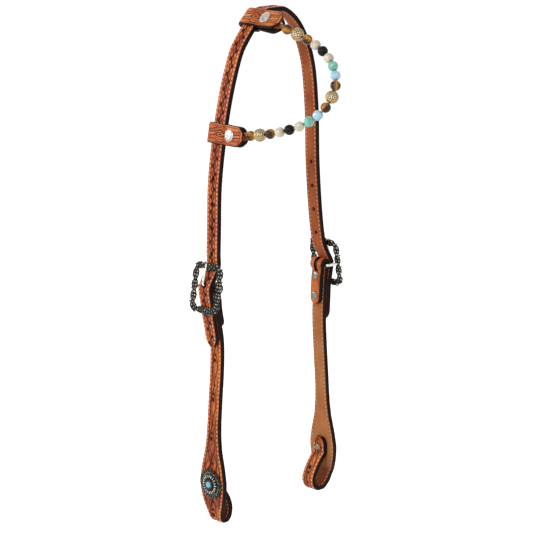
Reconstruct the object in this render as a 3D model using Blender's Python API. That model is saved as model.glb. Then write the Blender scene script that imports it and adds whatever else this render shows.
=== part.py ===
"""Western one-ear headstall: crown, two buckled cheeks with bit loops, keepers and a beaded ear loop.

Metres, Z up. X runs across the head, with the near side at minus X, and minus Y is forward.
The origin is the middle of the poll seat, the flat under the top of the crown.
"""
import math

import bmesh
import bpy
import numpy as np
from mathutils import Matrix, Vector

# Straps: a tooled outer layer on a plain lining
strap_width = 0.0159
tooled_thickness = 0.0025
lining_thickness = 0.0020
layer_gap = 0.0003
edge_chamfer = 0.0006
seat_gap = 0.0003
lay_gap = 0.0004
strap_thickness = tooled_thickness + layer_gap + lining_thickness
strap_half = strap_thickness / 2
overrun = 0.0020
flat_shares = (0.25, 0.75)

# Where the buckle bars lie, and the crown between them
bar_half_span = 0.0701
far_bar_shift = 0.0031
crown_height = 0.2545
over_bar_angle = math.radians(14)
near_crown_shares = ((0.050, -0.0096), (0.114, -0.0035), (0.171, 0.0087), (0.238, 0.0263), (0.342, 0.056),
                     (0.449, 0.091), (0.549, 0.131), (0.692, 0.236), (0.830, 0.385), (0.953, 0.601),
                     (0.976, 0.780), (0.986, 0.868))
far_crown_shares = ((0.196, -0.0095), (0.291, -0.001), (0.485, 0.040), (0.657, 0.110), (0.786, 0.208),
                    (0.864, 0.381), (0.890, 0.593), (0.946, 0.778), (0.990, 0.866))
billet_length = 0.0580
billet_tip_length = 0.0100
billet_tip_shares = ((0.0, 0.14), (0.10, 0.42), (0.30, 0.70), (0.60, 0.91), (1.0, 1.0))
billet_hole_bore = 0.0042
worn_hole_bore = 0.0054
billet_hole_pitch = 0.0238
spare_hole_start = 0.0318
spare_hole_count = 4

# Cheeks, from the bar down to the bit loop, as shares of the bar span and of the cheek length
cheek_length = 0.2344
near_cheek_shares = ((1.033, 0.0256), (1.0185, 0.0533), (1.008, 0.0896), (0.970, 0.147), (0.937, 0.203),
                     (0.926, 0.262), (0.936, 0.356), (0.963, 0.459), (0.993, 0.599), (1.007, 0.727))
near_concho_share = (1.011, 0.821)
near_loop_shares = ((1.002, 0.889), (0.974, 0.945), (0.946, 0.9731), (0.883, 0.9876), (0.813, 0.9757),
                    (0.780, 0.9386), (0.815, 0.896), (0.882, 0.862))
far_cheek_shares = ((1.0758, 0.0256), (1.0613, 0.0533), (1.053, 0.0896), (1.044, 0.147), (1.036, 0.203),
                    (1.041, 0.271), (1.063, 0.373), (1.103, 0.535), (1.123, 0.672), (1.130, 0.745))
far_concho_share = (1.136, 0.803)
far_loop_shares = ((1.144, 0.865), (1.150, 0.910), (1.108, 0.957), (0.996, 0.980), (0.880, 0.966),
                   (0.840, 0.934), (0.893, 0.892), (1.000, 0.848))
bit_seat_flat = 0.0008
bit_tail_rise = 0.0105
bit_tail_drop = 0.0055
paddle_width = 0.0334
paddle_length = 0.0620
paddle_shares = ((-1.0, 0.0), (-0.76, 0.07), (-0.53, 0.27), (-0.26, 0.75), (-0.06, 1.0), (0.06, 1.0),
                 (0.21, 0.86), (0.34, 0.60), (0.48, 0.21), (0.61, 0.02), (0.71, 0.0))
end_angles_shares = (0.25, 0.45, 0.7, 1.0)

# Chape: the top of the cheek, folded round the bar and screwed down inside
chape_width = 0.0130
chape_length = 0.0405
chape_slot_width = 0.0046
chape_slot_drop = 0.0065
chape_taper = 0.0050
bar_gap = 0.0004
chape_screw_drops = (0.0122, 0.0320)

# Buckles
frame_width = 0.0380
frame_height = 0.0470
rail_width = 0.0055
rail_depth = 0.0042
frame_corner = 0.0085
frame_tilt = math.radians(10)
bar_radius = 0.0016
bar_recess = 0.0085
bar_straight = 0.0186
rock_clearance = 0.0012
frame_steps = 39
rail_sides = 8
berry_count = 13
berry_rise = 0.0004
lens_length = 0.0052
lens_width = 0.0015
lens_sides = 6

# Tongues
tongue_radius = 0.0012
tongue_tip_radius = 0.0008
tongue_point_share = 0.25
tongue_loop_angle = math.radians(270)
tongue_loop_points = 10
tongue_entry_share = 0.7
tongue_rise_share = 1.5
tongue_bow_share = 0.55
worn_hole_drop = 0.0003

# Chicago screws of the chapes
screw_head_radius = 0.0040
screw_head_rise = 0.0015
screw_shank_radius = 0.0013
screw_dome_shares = ((0.6, 0.85), (1.0, 0.3))
flange_face_share = 0.85
post_flange_thickness = 0.0007
post_barrel_radius = 0.0022
thread_gap = 0.0003
leather_hole_gap = 0.0003
flange_recess = 0.0007
billet_lift = post_flange_thickness + 2 * seat_gap - flange_recess

# Conchos
concho_radius = 0.01475
concho_rim_thickness = 0.0012
concho_rim_width = 0.0036
concho_dome_rise = 0.0036
concho_bump_count = 18
concho_bump_rise = 0.0005
stone_radius = 0.0030
stone_rise = 0.0011
bezel_wall = 0.0007
bezel_rise = 0.0006
bezel_depth = 0.0010
dome_share = 0.66
rim_edge_share = 0.33
stone_shares = ((1.0, 0.0), (0.8, 0.6), (0.4, 0.93), (0.0, 1.0))
concho_screw_radius = 0.0033
concho_shank_radius = 0.0019
concho_socket_depth = 0.0016

# Keepers on the near side of the crown
keeper_width = 0.0192
keeper_thickness = 0.0030
keeper_out_gap = 0.00045
keeper_in_gap = 0.0011
keeper_edge_gap = 0.0004
keeper_back_share = 0.25
keeper_grip_middle = 0.0006
keeper_splay = 0.0003
keeper_grip_gap = 0.00045
keeper_lead = 0.0006
keeper_close = 0.0035
keeper_tip_length = 0.0080
keeper_tip_shares = ((0.0, 0.42), (0.25, 0.66), (0.6, 0.90), (1.0, 1.0))
upper_keeper_drop = 0.0084
upper_keeper_reach = 0.0385
lower_keeper_drop = 0.1105
lower_keeper_reach = 0.0345
upper_keeper_skew = 0.0026
lower_keeper_skew = 0
keeper_rivet_reach = 0.0178
keeper_cap_radius = 0.00575
keeper_cap_rise = 0.0012

# Ear cord, its crimped ends and its beads
cord_radius = 0.0008
cord_eye_radius = 0.0042
cord_eye_thickness = 0.0020
cord_sleeve_radius = 0.00095
cord_point_pitch = 0.0048
upper_exit_rise = -0.0010
lower_exit_rise = 0.0044
bead_diameter = 0.0098
gold_bead_diameter = 0.0123
bead_gap = 0.0003
bead_bore_radius = 0.0015
gold_bead_places = (2, 10, 18)
bead_count = 19
ear_route = ((-0.0175, -0.0393, -0.0093), (-0.0139, -0.0505, -0.0139), (-0.0096, -0.0657, -0.0197),
             (-0.0081, -0.0820, -0.0279), (-0.0108, -0.0978, -0.0392), (-0.0181, -0.1085, -0.0567),
             (-0.0296, -0.1077, -0.0747), (-0.0425, -0.0930, -0.0901), (-0.0527, -0.0714, -0.0988),
             (-0.0581, -0.0507, -0.1035), (-0.0600, -0.0352, -0.1062))

# Facets
curve_sag = 0.00026
sample_step = 0.0005
weld_distance = 0.00003
lay_points = 6
fold_points = 7
tube_resolution = 2
turn_steps = 10
bore_sides = 8
bead_steps = 10
bead_arc_points = 6
concho_steps = 36

leather_tooled = (0.62, 0.16, 0.04, 1.0)
leather_lining = (0.36, 0.13, 0.05, 1.0)
dark_metal = (0.05, 0.05, 0.05, 1.0)
bright_metal = (0.60, 0.60, 0.57, 1.0)
turquoise = (0.10, 0.52, 0.80, 1.0)


# Scene and materials

for old in list(bpy.data.objects):
    bpy.data.objects.remove(old, do_unlink=True)

parts = bpy.data.collections.new("headstall")
bpy.context.scene.collection.children.link(parts)
cutters = bpy.data.collections.new("cutters")
cutters.hide_render = True
bpy.context.scene.collection.children.link(cutters)


def make_material(name, colour, metallic, roughness):
    material = bpy.data.materials.new(name)
    material.use_nodes = True
    shader = material.node_tree.nodes["Principled BSDF"]
    shader.inputs["Base Color"].default_value = colour
    shader.inputs["Metallic"].default_value = metallic
    shader.inputs["Roughness"].default_value = roughness
    return material


def leather(name, colour):
    return make_material(name, colour, 0.0, 0.55)


def metal(name, colour):
    return make_material(name, colour, 1.0, 0.35)


def add_piece(name, mesh, material, origin=(0, 0, 0)):
    """Put a world-space mesh in the part, with its object's origin at the given point."""
    work = bmesh.new()
    work.from_mesh(mesh)
    bmesh.ops.recalc_face_normals(work, faces=work.faces)
    work.to_mesh(mesh)
    work.free()
    mesh.transform(Matrix.Translation(-Vector(origin)))
    piece = bpy.data.objects.new(name, mesh)
    piece.location = origin
    mesh.materials.append(material)
    parts.objects.link(piece)
    return piece


def add_cutter(name, mesh):
    work = bmesh.new()
    work.from_mesh(mesh)
    bmesh.ops.recalc_face_normals(work, faces=work.faces)
    work.to_mesh(mesh)
    work.free()
    cutter = bpy.data.objects.new(name, mesh)
    cutter.hide_render = True
    cutter.display_type = "WIRE"
    cutters.objects.link(cutter)
    return cutter


def combine(piece, cutter, operation="DIFFERENCE"):
    modifier = piece.modifiers.new(operation.lower() + "_" + cutter.name, "BOOLEAN")
    modifier.operation = operation
    modifier.solver = "EXACT"
    modifier.object = cutter


def mesh_of(name, points, faces):
    mesh = bpy.data.meshes.new(name)
    mesh.from_pydata([tuple(point) for point in points], [], faces)
    return mesh


# Lines in a plane

def smooth(points):
    """A centripetal Catmull-Rom curve through the points, sampled closely."""
    points = np.array(points, float)
    points = np.vstack([2 * points[0] - points[1], points, 2 * points[-1] - points[-2]])
    line = []
    for p0, p1, p2, p3 in zip(points, points[1:], points[2:], points[3:]):
        t1 = math.sqrt(np.linalg.norm(p1 - p0))
        t2 = t1 + math.sqrt(np.linalg.norm(p2 - p1))
        t3 = t2 + math.sqrt(np.linalg.norm(p3 - p2))
        count = max(2, math.ceil(np.linalg.norm(p2 - p1) / sample_step))
        for t in np.linspace(t1, t2, count, endpoint=False):
            a1 = (t1 - t) / t1 * p0 + t / t1 * p1
            a2 = (t2 - t) / (t2 - t1) * p1 + (t - t1) / (t2 - t1) * p2
            a3 = (t3 - t) / (t3 - t2) * p2 + (t - t2) / (t3 - t2) * p3
            b1 = (t2 - t) / t2 * a1 + t / t2 * a2
            b2 = (t3 - t) / (t3 - t1) * a2 + (t - t1) / (t3 - t1) * a3
            line.append((t2 - t) / (t2 - t1) * b1 + (t - t1) / (t2 - t1) * b2)
    line.append(points[-2])
    return np.array(line)


def lengths_along(line):
    return np.concatenate([[0.0], np.cumsum(np.linalg.norm(np.diff(line, axis=0), axis=1))])


def length_at(line, point):
    """How far along the line its nearest sample to a point lies."""
    return lengths_along(line)[np.argmin(np.linalg.norm(line - np.array(point), axis=1))]


def point_at(line, length):
    along = lengths_along(line)
    return np.array([np.interp(length, along, line[:, axis]) for axis in range(line.shape[1])])


def normal_at(line, length):
    """The line's left-hand normal, which is the tooled side of a strap."""
    ahead = point_at(line, length + sample_step) - point_at(line, length - sample_step)
    ahead /= np.linalg.norm(ahead)
    return np.array([-ahead[1], ahead[0]])


def beside(line, length, distance):
    return point_at(line, length) + normal_at(line, length) * distance


def needed(line):
    """Indices of the samples that keep the line within curve_sag."""
    kept = {0, len(line) - 1}
    spans = [(0, len(line) - 1)]
    while spans:
        first, last = spans.pop()
        if last - first < 2:
            continue
        chord = line[last] - line[first]
        inner = line[first + 1:last] - line[first]
        share = np.clip(inner @ chord / (chord @ chord), 0, 1)
        away = np.linalg.norm(inner - share[:, None] * chord, axis=1)
        worst = int(np.argmax(away))
        if away[worst] > curve_sag:
            kept.add(first + 1 + worst)
            spans += [(first, first + 1 + worst), (first + 1 + worst, last)]
    return sorted(kept)


def rounded_end(half_width, start, direction):
    """Widths of a round strap end that begins at start and widens along direction."""
    angles = [share * math.pi / 2 for share in end_angles_shares]
    first = math.cos(angles[0])
    return [(start + direction * half_width * (first - math.cos(angle)), half_width * math.sin(angle))
            for angle in angles]


def ribbon(line, widths, low, high, chamfered, place):
    """Points and faces of a strip along a line, between two offsets, with chamfered edges on one side."""
    along = lengths_along(line)
    table = sorted(widths)
    marks = [stop for stop, _ in table]
    bends = [stop for stop in along[needed(line)] if min(abs(stop - mark) for mark in marks) > sample_step]
    kept = sorted(marks + bends)
    points = []
    for stop in kept:
        half = float(np.interp(stop, [entry[0] for entry in table], [entry[1] for entry in table]))
        cut = min(edge_chamfer, half / 2)
        if chamfered == "high":
            section = [(low, -half), (low, half), (high - cut, half), (high, half - cut),
                       (high, cut - half), (high - cut, -half)]
        else:
            section = [(high, half), (high, -half), (low + cut, -half), (low, cut - half),
                       (low, half - cut), (low + cut, half)]
        for offset, across in section:
            at = beside(line, stop, offset)
            points.append(place(at[0], at[1], across))
    size = len(section)
    faces = [tuple(range(size))]
    for row in range(len(kept) - 1):
        for side in range(size):
            after = (side + 1) % size
            faces.append((row * size + side, row * size + after,
                          (row + 1) * size + after, (row + 1) * size + side))
    last = (len(kept) - 1) * size
    faces.append(tuple(reversed(range(last, last + size))))
    return points, faces


def cylinder(name, centre, axis, radius, low, high, sides=bore_sides):
    """A prism round an axis through centre, from low to high along it, that a circle of radius fits in."""
    corner = radius / math.cos(math.pi / sides)
    turn = Vector(axis).to_track_quat("Z", "Y").to_matrix()
    points = []
    for height in (low, high):
        for step in range(sides):
            angle = 2 * math.pi * step / sides
            spoke = Vector((corner * math.cos(angle), corner * math.sin(angle), height))
            points.append(Vector(centre) + turn @ spoke)
    faces = [tuple(range(sides)), tuple(reversed(range(sides, 2 * sides)))]
    for step in range(sides):
        after = (step + 1) % sides
        faces.append((step, after, sides + after, sides + step))
    return mesh_of(name, points, faces)


def turned(name, profile, centre, axis, steps=turn_steps, closed=False, ripple=None):
    """A profile of (radius, height) turned about an axis. A closed profile has a bore."""
    turn = Vector(axis).to_track_quat("Z", "Y").to_matrix()
    points, rings = [], []
    for radius, height in profile:
        first = len(points)
        count = 1 if radius == 0 else steps
        for step in range(count):
            angle = 2 * math.pi * step / steps
            reach = radius + (ripple(radius, step) if ripple else 0)
            spoke = Vector((reach * math.cos(angle), reach * math.sin(angle), height))
            points.append(Vector(centre) + turn @ spoke)
        rings.append([first + step % count for step in range(steps)])
    faces = []
    pairs = list(zip(rings, rings[1:]))
    if closed:
        pairs.append((rings[-1], rings[0]))
    for below, above in pairs:
        for step in range(steps):
            after = (step + 1) % steps
            corners = (below[step], below[after], above[after], above[step])
            faces.append(tuple(dict.fromkeys(corners)))
    return mesh_of(name, points, faces)


def tube(name, points, radii):
    """A round bar along points, made by a bevelled curve and turned into a mesh."""
    curve = bpy.data.curves.new(name, "CURVE")
    curve.dimensions = "3D"
    curve.bevel_depth = 1.0
    curve.bevel_resolution = tube_resolution
    curve.use_fill_caps = True
    spline = curve.splines.new("POLY")
    spline.points.add(len(points) - 1)
    for knot, point, radius in zip(spline.points, points, radii):
        knot.co = (*point, 1.0)
        knot.radius = radius
    holder = bpy.data.objects.new(name, curve)
    bpy.context.scene.collection.objects.link(holder)
    bpy.context.view_layer.update()
    mesh = bpy.data.meshes.new_from_object(holder.evaluated_get(bpy.context.evaluated_depsgraph_get()))
    bpy.data.objects.remove(holder, do_unlink=True)
    bpy.data.curves.remove(curve)
    work = bmesh.new()
    work.from_mesh(mesh)
    bmesh.ops.remove_doubles(work, verts=work.verts, dist=weld_distance)
    work.to_mesh(mesh)
    work.free()
    return mesh


# Buckle places: outward from the middle of the head, and up

outward = np.array([math.cos(frame_tilt), math.sin(frame_tilt)])
downward = np.array([math.sin(frame_tilt), -math.cos(frame_tilt)])
fold_radius = bar_radius + bar_gap + strap_half
over_radius = fold_radius + strap_half + lay_gap + strap_half
rail_drop = (frame_height - rail_width) / 2
billet_under = -(rail_depth / 2 + rock_clearance + strap_half)
billet_offset = strap_thickness + billet_lift
tail_offset = strap_thickness + lay_gap


class Side:
    """One side of the headstall: its sign along X, its name and the lines of its cheek."""

    def __init__(self, name, sign, bar_reach, crown_shares, cheek_shares, concho_share, loop_shares):
        self.name = name
        self.sign = sign
        self.bar = np.array([bar_reach, -crown_height])
        self.crown = [(out * bar_half_span, -drop * crown_height) for out, drop in crown_shares]
        hang = [self.cheek_point(share) for share in cheek_shares]
        self.concho = self.cheek_point(concho_share)
        loop = [self.cheek_point(share) for share in loop_shares]
        fold = [self.round_bar(fold_radius, angle) for angle in np.linspace(math.pi, 0, fold_points)]
        outer = smooth([fold[-2], fold[-1]] + hang + [self.concho] + loop)
        start = length_at(outer, hang[0])
        bar_length = length_at(outer, fold[-1])
        concho_length = length_at(outer, self.concho)
        chape = [beside(outer, length, -tail_offset)
                 for length in np.linspace(bar_length + chape_length, start, lay_points)]
        tail = [beside(outer, concho_length - length, -tail_offset)
                for length in np.linspace(-bit_tail_drop, bit_tail_rise, lay_points)]
        line = smooth(chape + fold + hang + [self.concho] + loop + tail)
        lowest = line[:, 1].min() + bit_seat_flat
        line[:, 1] = np.maximum(line[:, 1], lowest)
        self.line = line
        self.outer = outer
        self.bar_length = bar_length
        self.concho_length = length_at(line, self.concho)
        self.fold_start = length_at(line, fold[0])
        self.seat_lengths = lengths_along(line)[line[:, 1] <= lowest]
        self.seat = (float(np.mean(line[line[:, 1] <= lowest][:, 0])), lowest + strap_half)
        end = length_at(outer, self.at_frame(billet_under - billet_offset, rail_drop))
        tip = bar_length + billet_length
        lay = [beside(outer, length, billet_offset) for length in np.linspace(tip, end, lay_points)]
        over = [self.round_bar(over_radius, angle) for angle in (-over_bar_angle, 0, over_bar_angle)]
        self.billet = lay + over + [self.at_frame(billet_under, -rail_drop)]

    def cheek_point(self, share):
        return np.array([share[0] * bar_half_span, -crown_height - share[1] * cheek_length])

    def at_frame(self, out, down):
        """A point given outward and down from the middle of the buckle frame."""
        return self.bar + outward * (bar_recess + out) + downward * down

    def round_bar(self, radius, angle):
        """A point round the bar, with the angle from outward towards up."""
        return self.bar + radius * (math.cos(angle) * outward - math.sin(angle) * downward)

    def place(self, out, up, across):
        return (self.sign * out, across, up)

    def axis(self, direction):
        return Vector((self.sign * direction[0], 0, direction[1]))


near = Side("near", -1, bar_half_span, near_crown_shares, near_cheek_shares, near_concho_share,
            near_loop_shares)
far = Side("far", 1, bar_half_span + far_bar_shift, far_crown_shares, far_cheek_shares, far_concho_share,
           far_loop_shares)
sides = (near, far)


def two_layers(name, line, widths, place, colour_names, origin=(0, 0, 0)):
    """The tooled layer and the lining of one strap."""
    low = layer_gap + lining_thickness - strap_half
    points, faces = ribbon(line, widths, low, strap_half, "high", place)
    tooled = add_piece(name + "_strap", mesh_of(name + "_strap", points, faces),
                       leather(colour_names[0], leather_tooled), origin)
    points, faces = ribbon(line, widths, -strap_half, lining_thickness - strap_half, "low", place)
    lining = add_piece(name + "_lining", mesh_of(name + "_lining", points, faces),
                       leather(colour_names[1], leather_lining), origin)
    return tooled, lining


# Crown

def crown_place(across_head, up, across):
    return (across_head, across, up)


near_run = [(-out, up) for out, up in near.billet + near.crown[::-1]]
far_run = [(out, up) for out, up in (far.billet + far.crown[::-1])[::-1]]
crown_line = smooth(near_run + far_run)
crown_line[:, 1] = np.minimum(crown_line[:, 1], strap_half)
crown_length = lengths_along(crown_line)[-1]
level = lengths_along(crown_line)[crown_line[:, 1] >= strap_half]
seat_marks = [float(np.quantile(level, share)) for share in flat_shares]
half_width = strap_width / 2
crown_widths = [(share * billet_tip_length, half_width * width) for share, width in billet_tip_shares]
crown_widths += [(mark, half_width) for mark in seat_marks]
crown_widths += [(crown_length - length, width) for length, width in crown_widths[:len(billet_tip_shares)]]
crown_strap, crown_lining = two_layers("crown", crown_line, crown_widths, crown_place,
                                       ("crown_tooled_leather", "crown_lining_leather"))

for side in sides:
    over = side.round_bar(over_radius, 0)
    used = length_at(crown_line, (side.sign * over[0], over[1]))
    towards_top = -side.sign
    rise = over_radius * math.sin(over_bar_angle) + worn_hole_drop
    places = [(used + towards_top * rise, worn_hole_bore)]
    places += [(used + towards_top * (rise + spare_hole_start + step * billet_hole_pitch), billet_hole_bore)
               for step in range(spare_hole_count)]
    for number, (length, bore) in enumerate(places):
        centre = point_at(crown_line, length)
        direction = normal_at(crown_line, length)
        mesh = cylinder(f"{side.name}_billet_hole_{number}", crown_place(*centre, 0),
                        crown_place(*direction, 0), bore / 2, -strap_half - overrun, strap_half + overrun)
        cutter = add_cutter(mesh.name, mesh)
        combine(crown_strap, cutter)
        combine(crown_lining, cutter)


# Cheeks

def cheek_widths(side):
    half = strap_width / 2
    total = lengths_along(side.line)[-1]
    widths = rounded_end(chape_width / 2, 0, 1)
    widths += [(side.fold_start - chape_taper, chape_width / 2), (side.fold_start, half)]
    widths += [(side.concho_length + place * paddle_length, half + share * (paddle_width - strap_width) / 2)
               for place, share in paddle_shares]
    widths += [(float(np.quantile(side.seat_lengths, share)), half) for share in flat_shares]
    widths += rounded_end(half, total, -1)
    return widths


def make_cheek(side):
    origin = side.place(*side.bar, 0)
    layers = two_layers(side.name + "_cheek", side.line, cheek_widths(side), side.place,
                        (side.name + "_cheek_tooled_leather", side.name + "_cheek_lining_leather"), origin)
    reach = fold_radius + strap_half + overrun
    corners = [side.bar + outward * out + downward * down
               for out, down in ((-reach, -reach), (reach, -reach), (reach, chape_slot_drop),
                                 (-reach, chape_slot_drop))]
    points = [side.place(*corner, across) for across in (-chape_slot_width / 2, chape_slot_width / 2)
              for corner in corners]
    faces = [(0, 1, 2, 3), (7, 6, 5, 4), (0, 4, 5, 1), (1, 5, 6, 2), (2, 6, 7, 3), (3, 7, 4, 0)]
    slot = add_cutter(side.name + "_chape_slot", mesh_of(side.name + "_chape_slot", points, faces))
    holes = [(side.bar_length + drop, post_barrel_radius) for drop in chape_screw_drops]
    holes.append((length_at(side.outer, side.concho), concho_shank_radius))
    tools = [slot]
    for number, (length, radius) in enumerate(holes):
        mesh = cylinder(f"{side.name}_screw_hole_{number}", side.place(*point_at(side.outer, length), 0),
                        side.axis(normal_at(side.outer, length)), radius + leather_hole_gap,
                        -(tail_offset + strap_half + overrun), strap_half + overrun)
        tools.append(add_cutter(mesh.name, mesh))
    for layer in layers:
        for tool in tools:
            combine(layer, tool)
    for number, drop in enumerate(chape_screw_drops):
        length = side.bar_length + drop
        mesh = cylinder(f"{side.name}_flange_recess_{number}", side.place(*point_at(side.outer, length), 0),
                        side.axis(normal_at(side.outer, length)), screw_head_radius + leather_hole_gap,
                        strap_half - flange_recess, strap_half + overrun)
        combine(layers[0], add_cutter(mesh.name, mesh))


def screw_profile(head_radius, head_rise, shank_radius, seat, tip):
    """A domed head below its seat, and a shank up to the tip."""
    dome = [(head_radius * out, seat - head_rise * rise) for out, rise in screw_dome_shares]
    return [(0, seat - head_rise)] + dome + [(head_radius, seat), (shank_radius, seat), (shank_radius, tip),
                                             (0, tip)]


def post_profile(seat, far_end, bore_end):
    """A flanged barrel with a blind bore: the flange sits on its seat and the barrel reaches down."""
    bore = screw_shank_radius + thread_gap
    top = seat + post_flange_thickness
    return [(0, bore_end), (bore, bore_end), (bore, far_end), (post_barrel_radius, far_end),
            (post_barrel_radius, seat), (screw_head_radius, seat),
            (screw_head_radius, seat + post_flange_thickness / 2),
            (screw_head_radius * flange_face_share, top), (0, top)]


def make_chape_screws(side):
    origin = side.place(*side.bar, 0)
    for label, drop in zip(("upper", "lower"), chape_screw_drops):
        length = side.bar_length + drop
        centre = side.place(*point_at(side.outer, length), 0)
        axis = side.axis(normal_at(side.outer, length))
        head_seat = -(tail_offset + strap_half + seat_gap)
        post_seat = strap_half - flange_recess + seat_gap
        name = f"{side.name}_chape_screw_{label}"
        profile = screw_profile(screw_head_radius, screw_head_rise, screw_shank_radius, head_seat,
                                post_seat - seat_gap)
        add_piece(name, turned(name, profile, centre, axis), metal(name + "_steel", bright_metal), origin)
        name = f"{side.name}_chape_post_{label}"
        add_piece(name, turned(name, post_profile(post_seat, -tail_offset, post_seat), centre, axis),
                  metal(name + "_steel", bright_metal), origin)


def make_concho(side):
    origin = side.place(*side.bar, 0)
    length = length_at(side.outer, side.concho)
    centre = side.place(*side.concho, 0)
    axis = side.axis(normal_at(side.outer, length))
    back = strap_half + seat_gap
    socket = concho_shank_radius + thread_gap
    bezel_inner = stone_radius + seat_gap
    bezel_outer = bezel_inner + bezel_wall
    rim = back + concho_rim_thickness
    dome = back + concho_dome_rise
    bezel_top = dome + bezel_rise
    floor = bezel_top - bezel_depth
    inner = concho_radius - concho_rim_width
    middle = (inner + bezel_outer) / 2
    profile = [(0, back + concho_socket_depth), (socket, back + concho_socket_depth), (socket, back),
               (concho_radius - edge_chamfer, back),
               (concho_radius, back + concho_rim_thickness * rim_edge_share),
               (concho_radius - edge_chamfer, rim), ((concho_radius + inner) / 2, rim + bezel_rise / 2),
               (inner, rim - bezel_rise / 2), (middle, rim + (dome - rim) * dome_share), (bezel_outer, dome),
               (bezel_outer, bezel_top), (bezel_inner, bezel_top), (bezel_inner, floor), (0, floor)]

    def bumps(radius, step):
        if radius < concho_radius - 2 * edge_chamfer:
            return 0
        return concho_bump_rise * (math.cos(2 * math.pi * concho_bump_count * step / concho_steps) - 1) / 2

    name = side.name + "_concho_plate"
    add_piece(name, turned(name, profile, centre, axis, concho_steps, ripple=bumps),
              metal(name + "_metal", dark_metal), origin)
    name = side.name + "_concho_stone"
    bottom = floor + seat_gap
    profile = [(0, bottom), (stone_radius, bottom)]
    profile += [(stone_radius * out, bezel_top + stone_rise * rise) for out, rise in stone_shares]
    add_piece(name, turned(name, profile, centre, axis),
              make_material(name + "_turquoise", turquoise, 0, 0.25), origin)
    name = side.name + "_concho_screw"
    profile = screw_profile(concho_screw_radius, screw_head_rise, concho_shank_radius,
                            -(tail_offset + strap_half + seat_gap), back + concho_socket_depth - seat_gap)
    add_piece(name, turned(name, profile, centre, axis), metal(name + "_steel", bright_metal), origin)


# Buckles

def rounded_rectangle(half_width, half_height, corner, count):
    """Evenly spaced points round a rounded rectangle, with their outward normals."""
    line, normals = [], []
    for turn, (x, y) in enumerate(((1, 1), (-1, 1), (-1, -1), (1, -1))):
        centre = np.array([x * (half_width - corner), y * (half_height - corner)])
        for step in range(count):
            angle = math.pi / 2 * (turn + step / (count - 1))
            normal = np.array([math.cos(angle), math.sin(angle)])
            line.append(centre + corner * normal)
            normals.append(normal)
    line = np.array(line + line[:1])
    normals = np.array(normals + normals[:1])
    along = lengths_along(line)
    stops = along[-1] * np.arange(count) / count
    points = np.column_stack([np.interp(stops, along, line[:, axis]) for axis in range(2)])
    aims = np.column_stack([np.interp(stops, along, normals[:, axis]) for axis in range(2)])
    return points, aims / np.linalg.norm(aims, axis=1)[:, None], along[-1]


def make_frame(side):
    def place(out, down, across):
        return side.place(*side.at_frame(out, down), across)

    origin = side.place(*side.bar, 0)
    half_rail = rail_width / 2
    centres, normals, girth = rounded_rectangle(frame_width / 2 - half_rail, frame_height / 2 - half_rail,
                                                frame_corner - half_rail, frame_steps)
    section_angles = [2 * math.pi * step / rail_sides for step in range(rail_sides)]
    points = []
    for step, (centre, normal) in enumerate(zip(centres, normals)):
        bump = berry_rise * math.cos(2 * math.pi * berry_count * step / frame_steps)
        for angle in section_angles:
            reach = half_rail + bump if math.cos(angle) > 0 else half_rail
            at = centre + normal * reach * math.cos(angle)
            points.append(place(rail_depth / 2 * math.sin(angle), at[1], at[0]))
    faces = []
    for step in range(frame_steps):
        after = (step + 1) % frame_steps
        for corner in range(rail_sides):
            beyond = (corner + 1) % rail_sides
            faces.append((step * rail_sides + corner, step * rail_sides + beyond,
                          after * rail_sides + beyond, after * rail_sides + corner))
    name = side.name + "_buckle_frame"
    frame = add_piece(name, mesh_of(name, points, faces), metal(name + "_metal", dark_metal), origin)
    rail_place = frame_width / 2 - half_rail
    bend = (rail_place + bar_straight / 2) / 2
    stops = [(-rail_place, 0), (-bend, -bar_recess / 2), (-bar_straight / 2, -bar_recess),
             (bar_straight / 2, -bar_recess), (bend, -bar_recess / 2), (rail_place, 0)]
    mesh = tube(side.name + "_buckle_bar", [place(out, 0, across) for across, out in stops],
                [bar_radius] * len(stops))
    combine(frame, add_cutter(mesh.name, mesh), "UNION")
    lens_points, lens_faces = [], []
    for number in range(berry_count):
        stop = (number + 0.5) * frame_steps / berry_count
        step = int(stop) % frame_steps
        after = (step + 1) % frame_steps
        centre = centres[step] + (centres[after] - centres[step]) * (stop - int(stop))
        normal = normals[step] + (normals[after] - normals[step]) * (stop - int(stop))
        if abs(centre[1]) < lens_length and abs(centre[0]) > frame_width / 4:
            continue
        ahead = np.array([-normal[1], normal[0]])
        first = len(lens_points)
        for out in (-rail_depth, rail_depth):
            for corner in range(lens_sides):
                angle = 2 * math.pi * corner / lens_sides
                at = (centre + ahead * lens_length / 2 * math.cos(angle)
                      + normal * lens_width / 2 * math.sin(angle))
                lens_points.append(place(out, at[1], at[0]))
        lens_faces.append(tuple(first + corner for corner in range(lens_sides)))
        lens_faces.append(tuple(first + lens_sides + corner for corner in reversed(range(lens_sides))))
        for corner in range(lens_sides):
            beyond = (corner + 1) % lens_sides
            lens_faces.append((first + corner, first + beyond,
                               first + lens_sides + beyond, first + lens_sides + corner))
    name = side.name + "_frame_openings"
    combine(frame, add_cutter(name, mesh_of(name, lens_points, lens_faces)))


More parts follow.
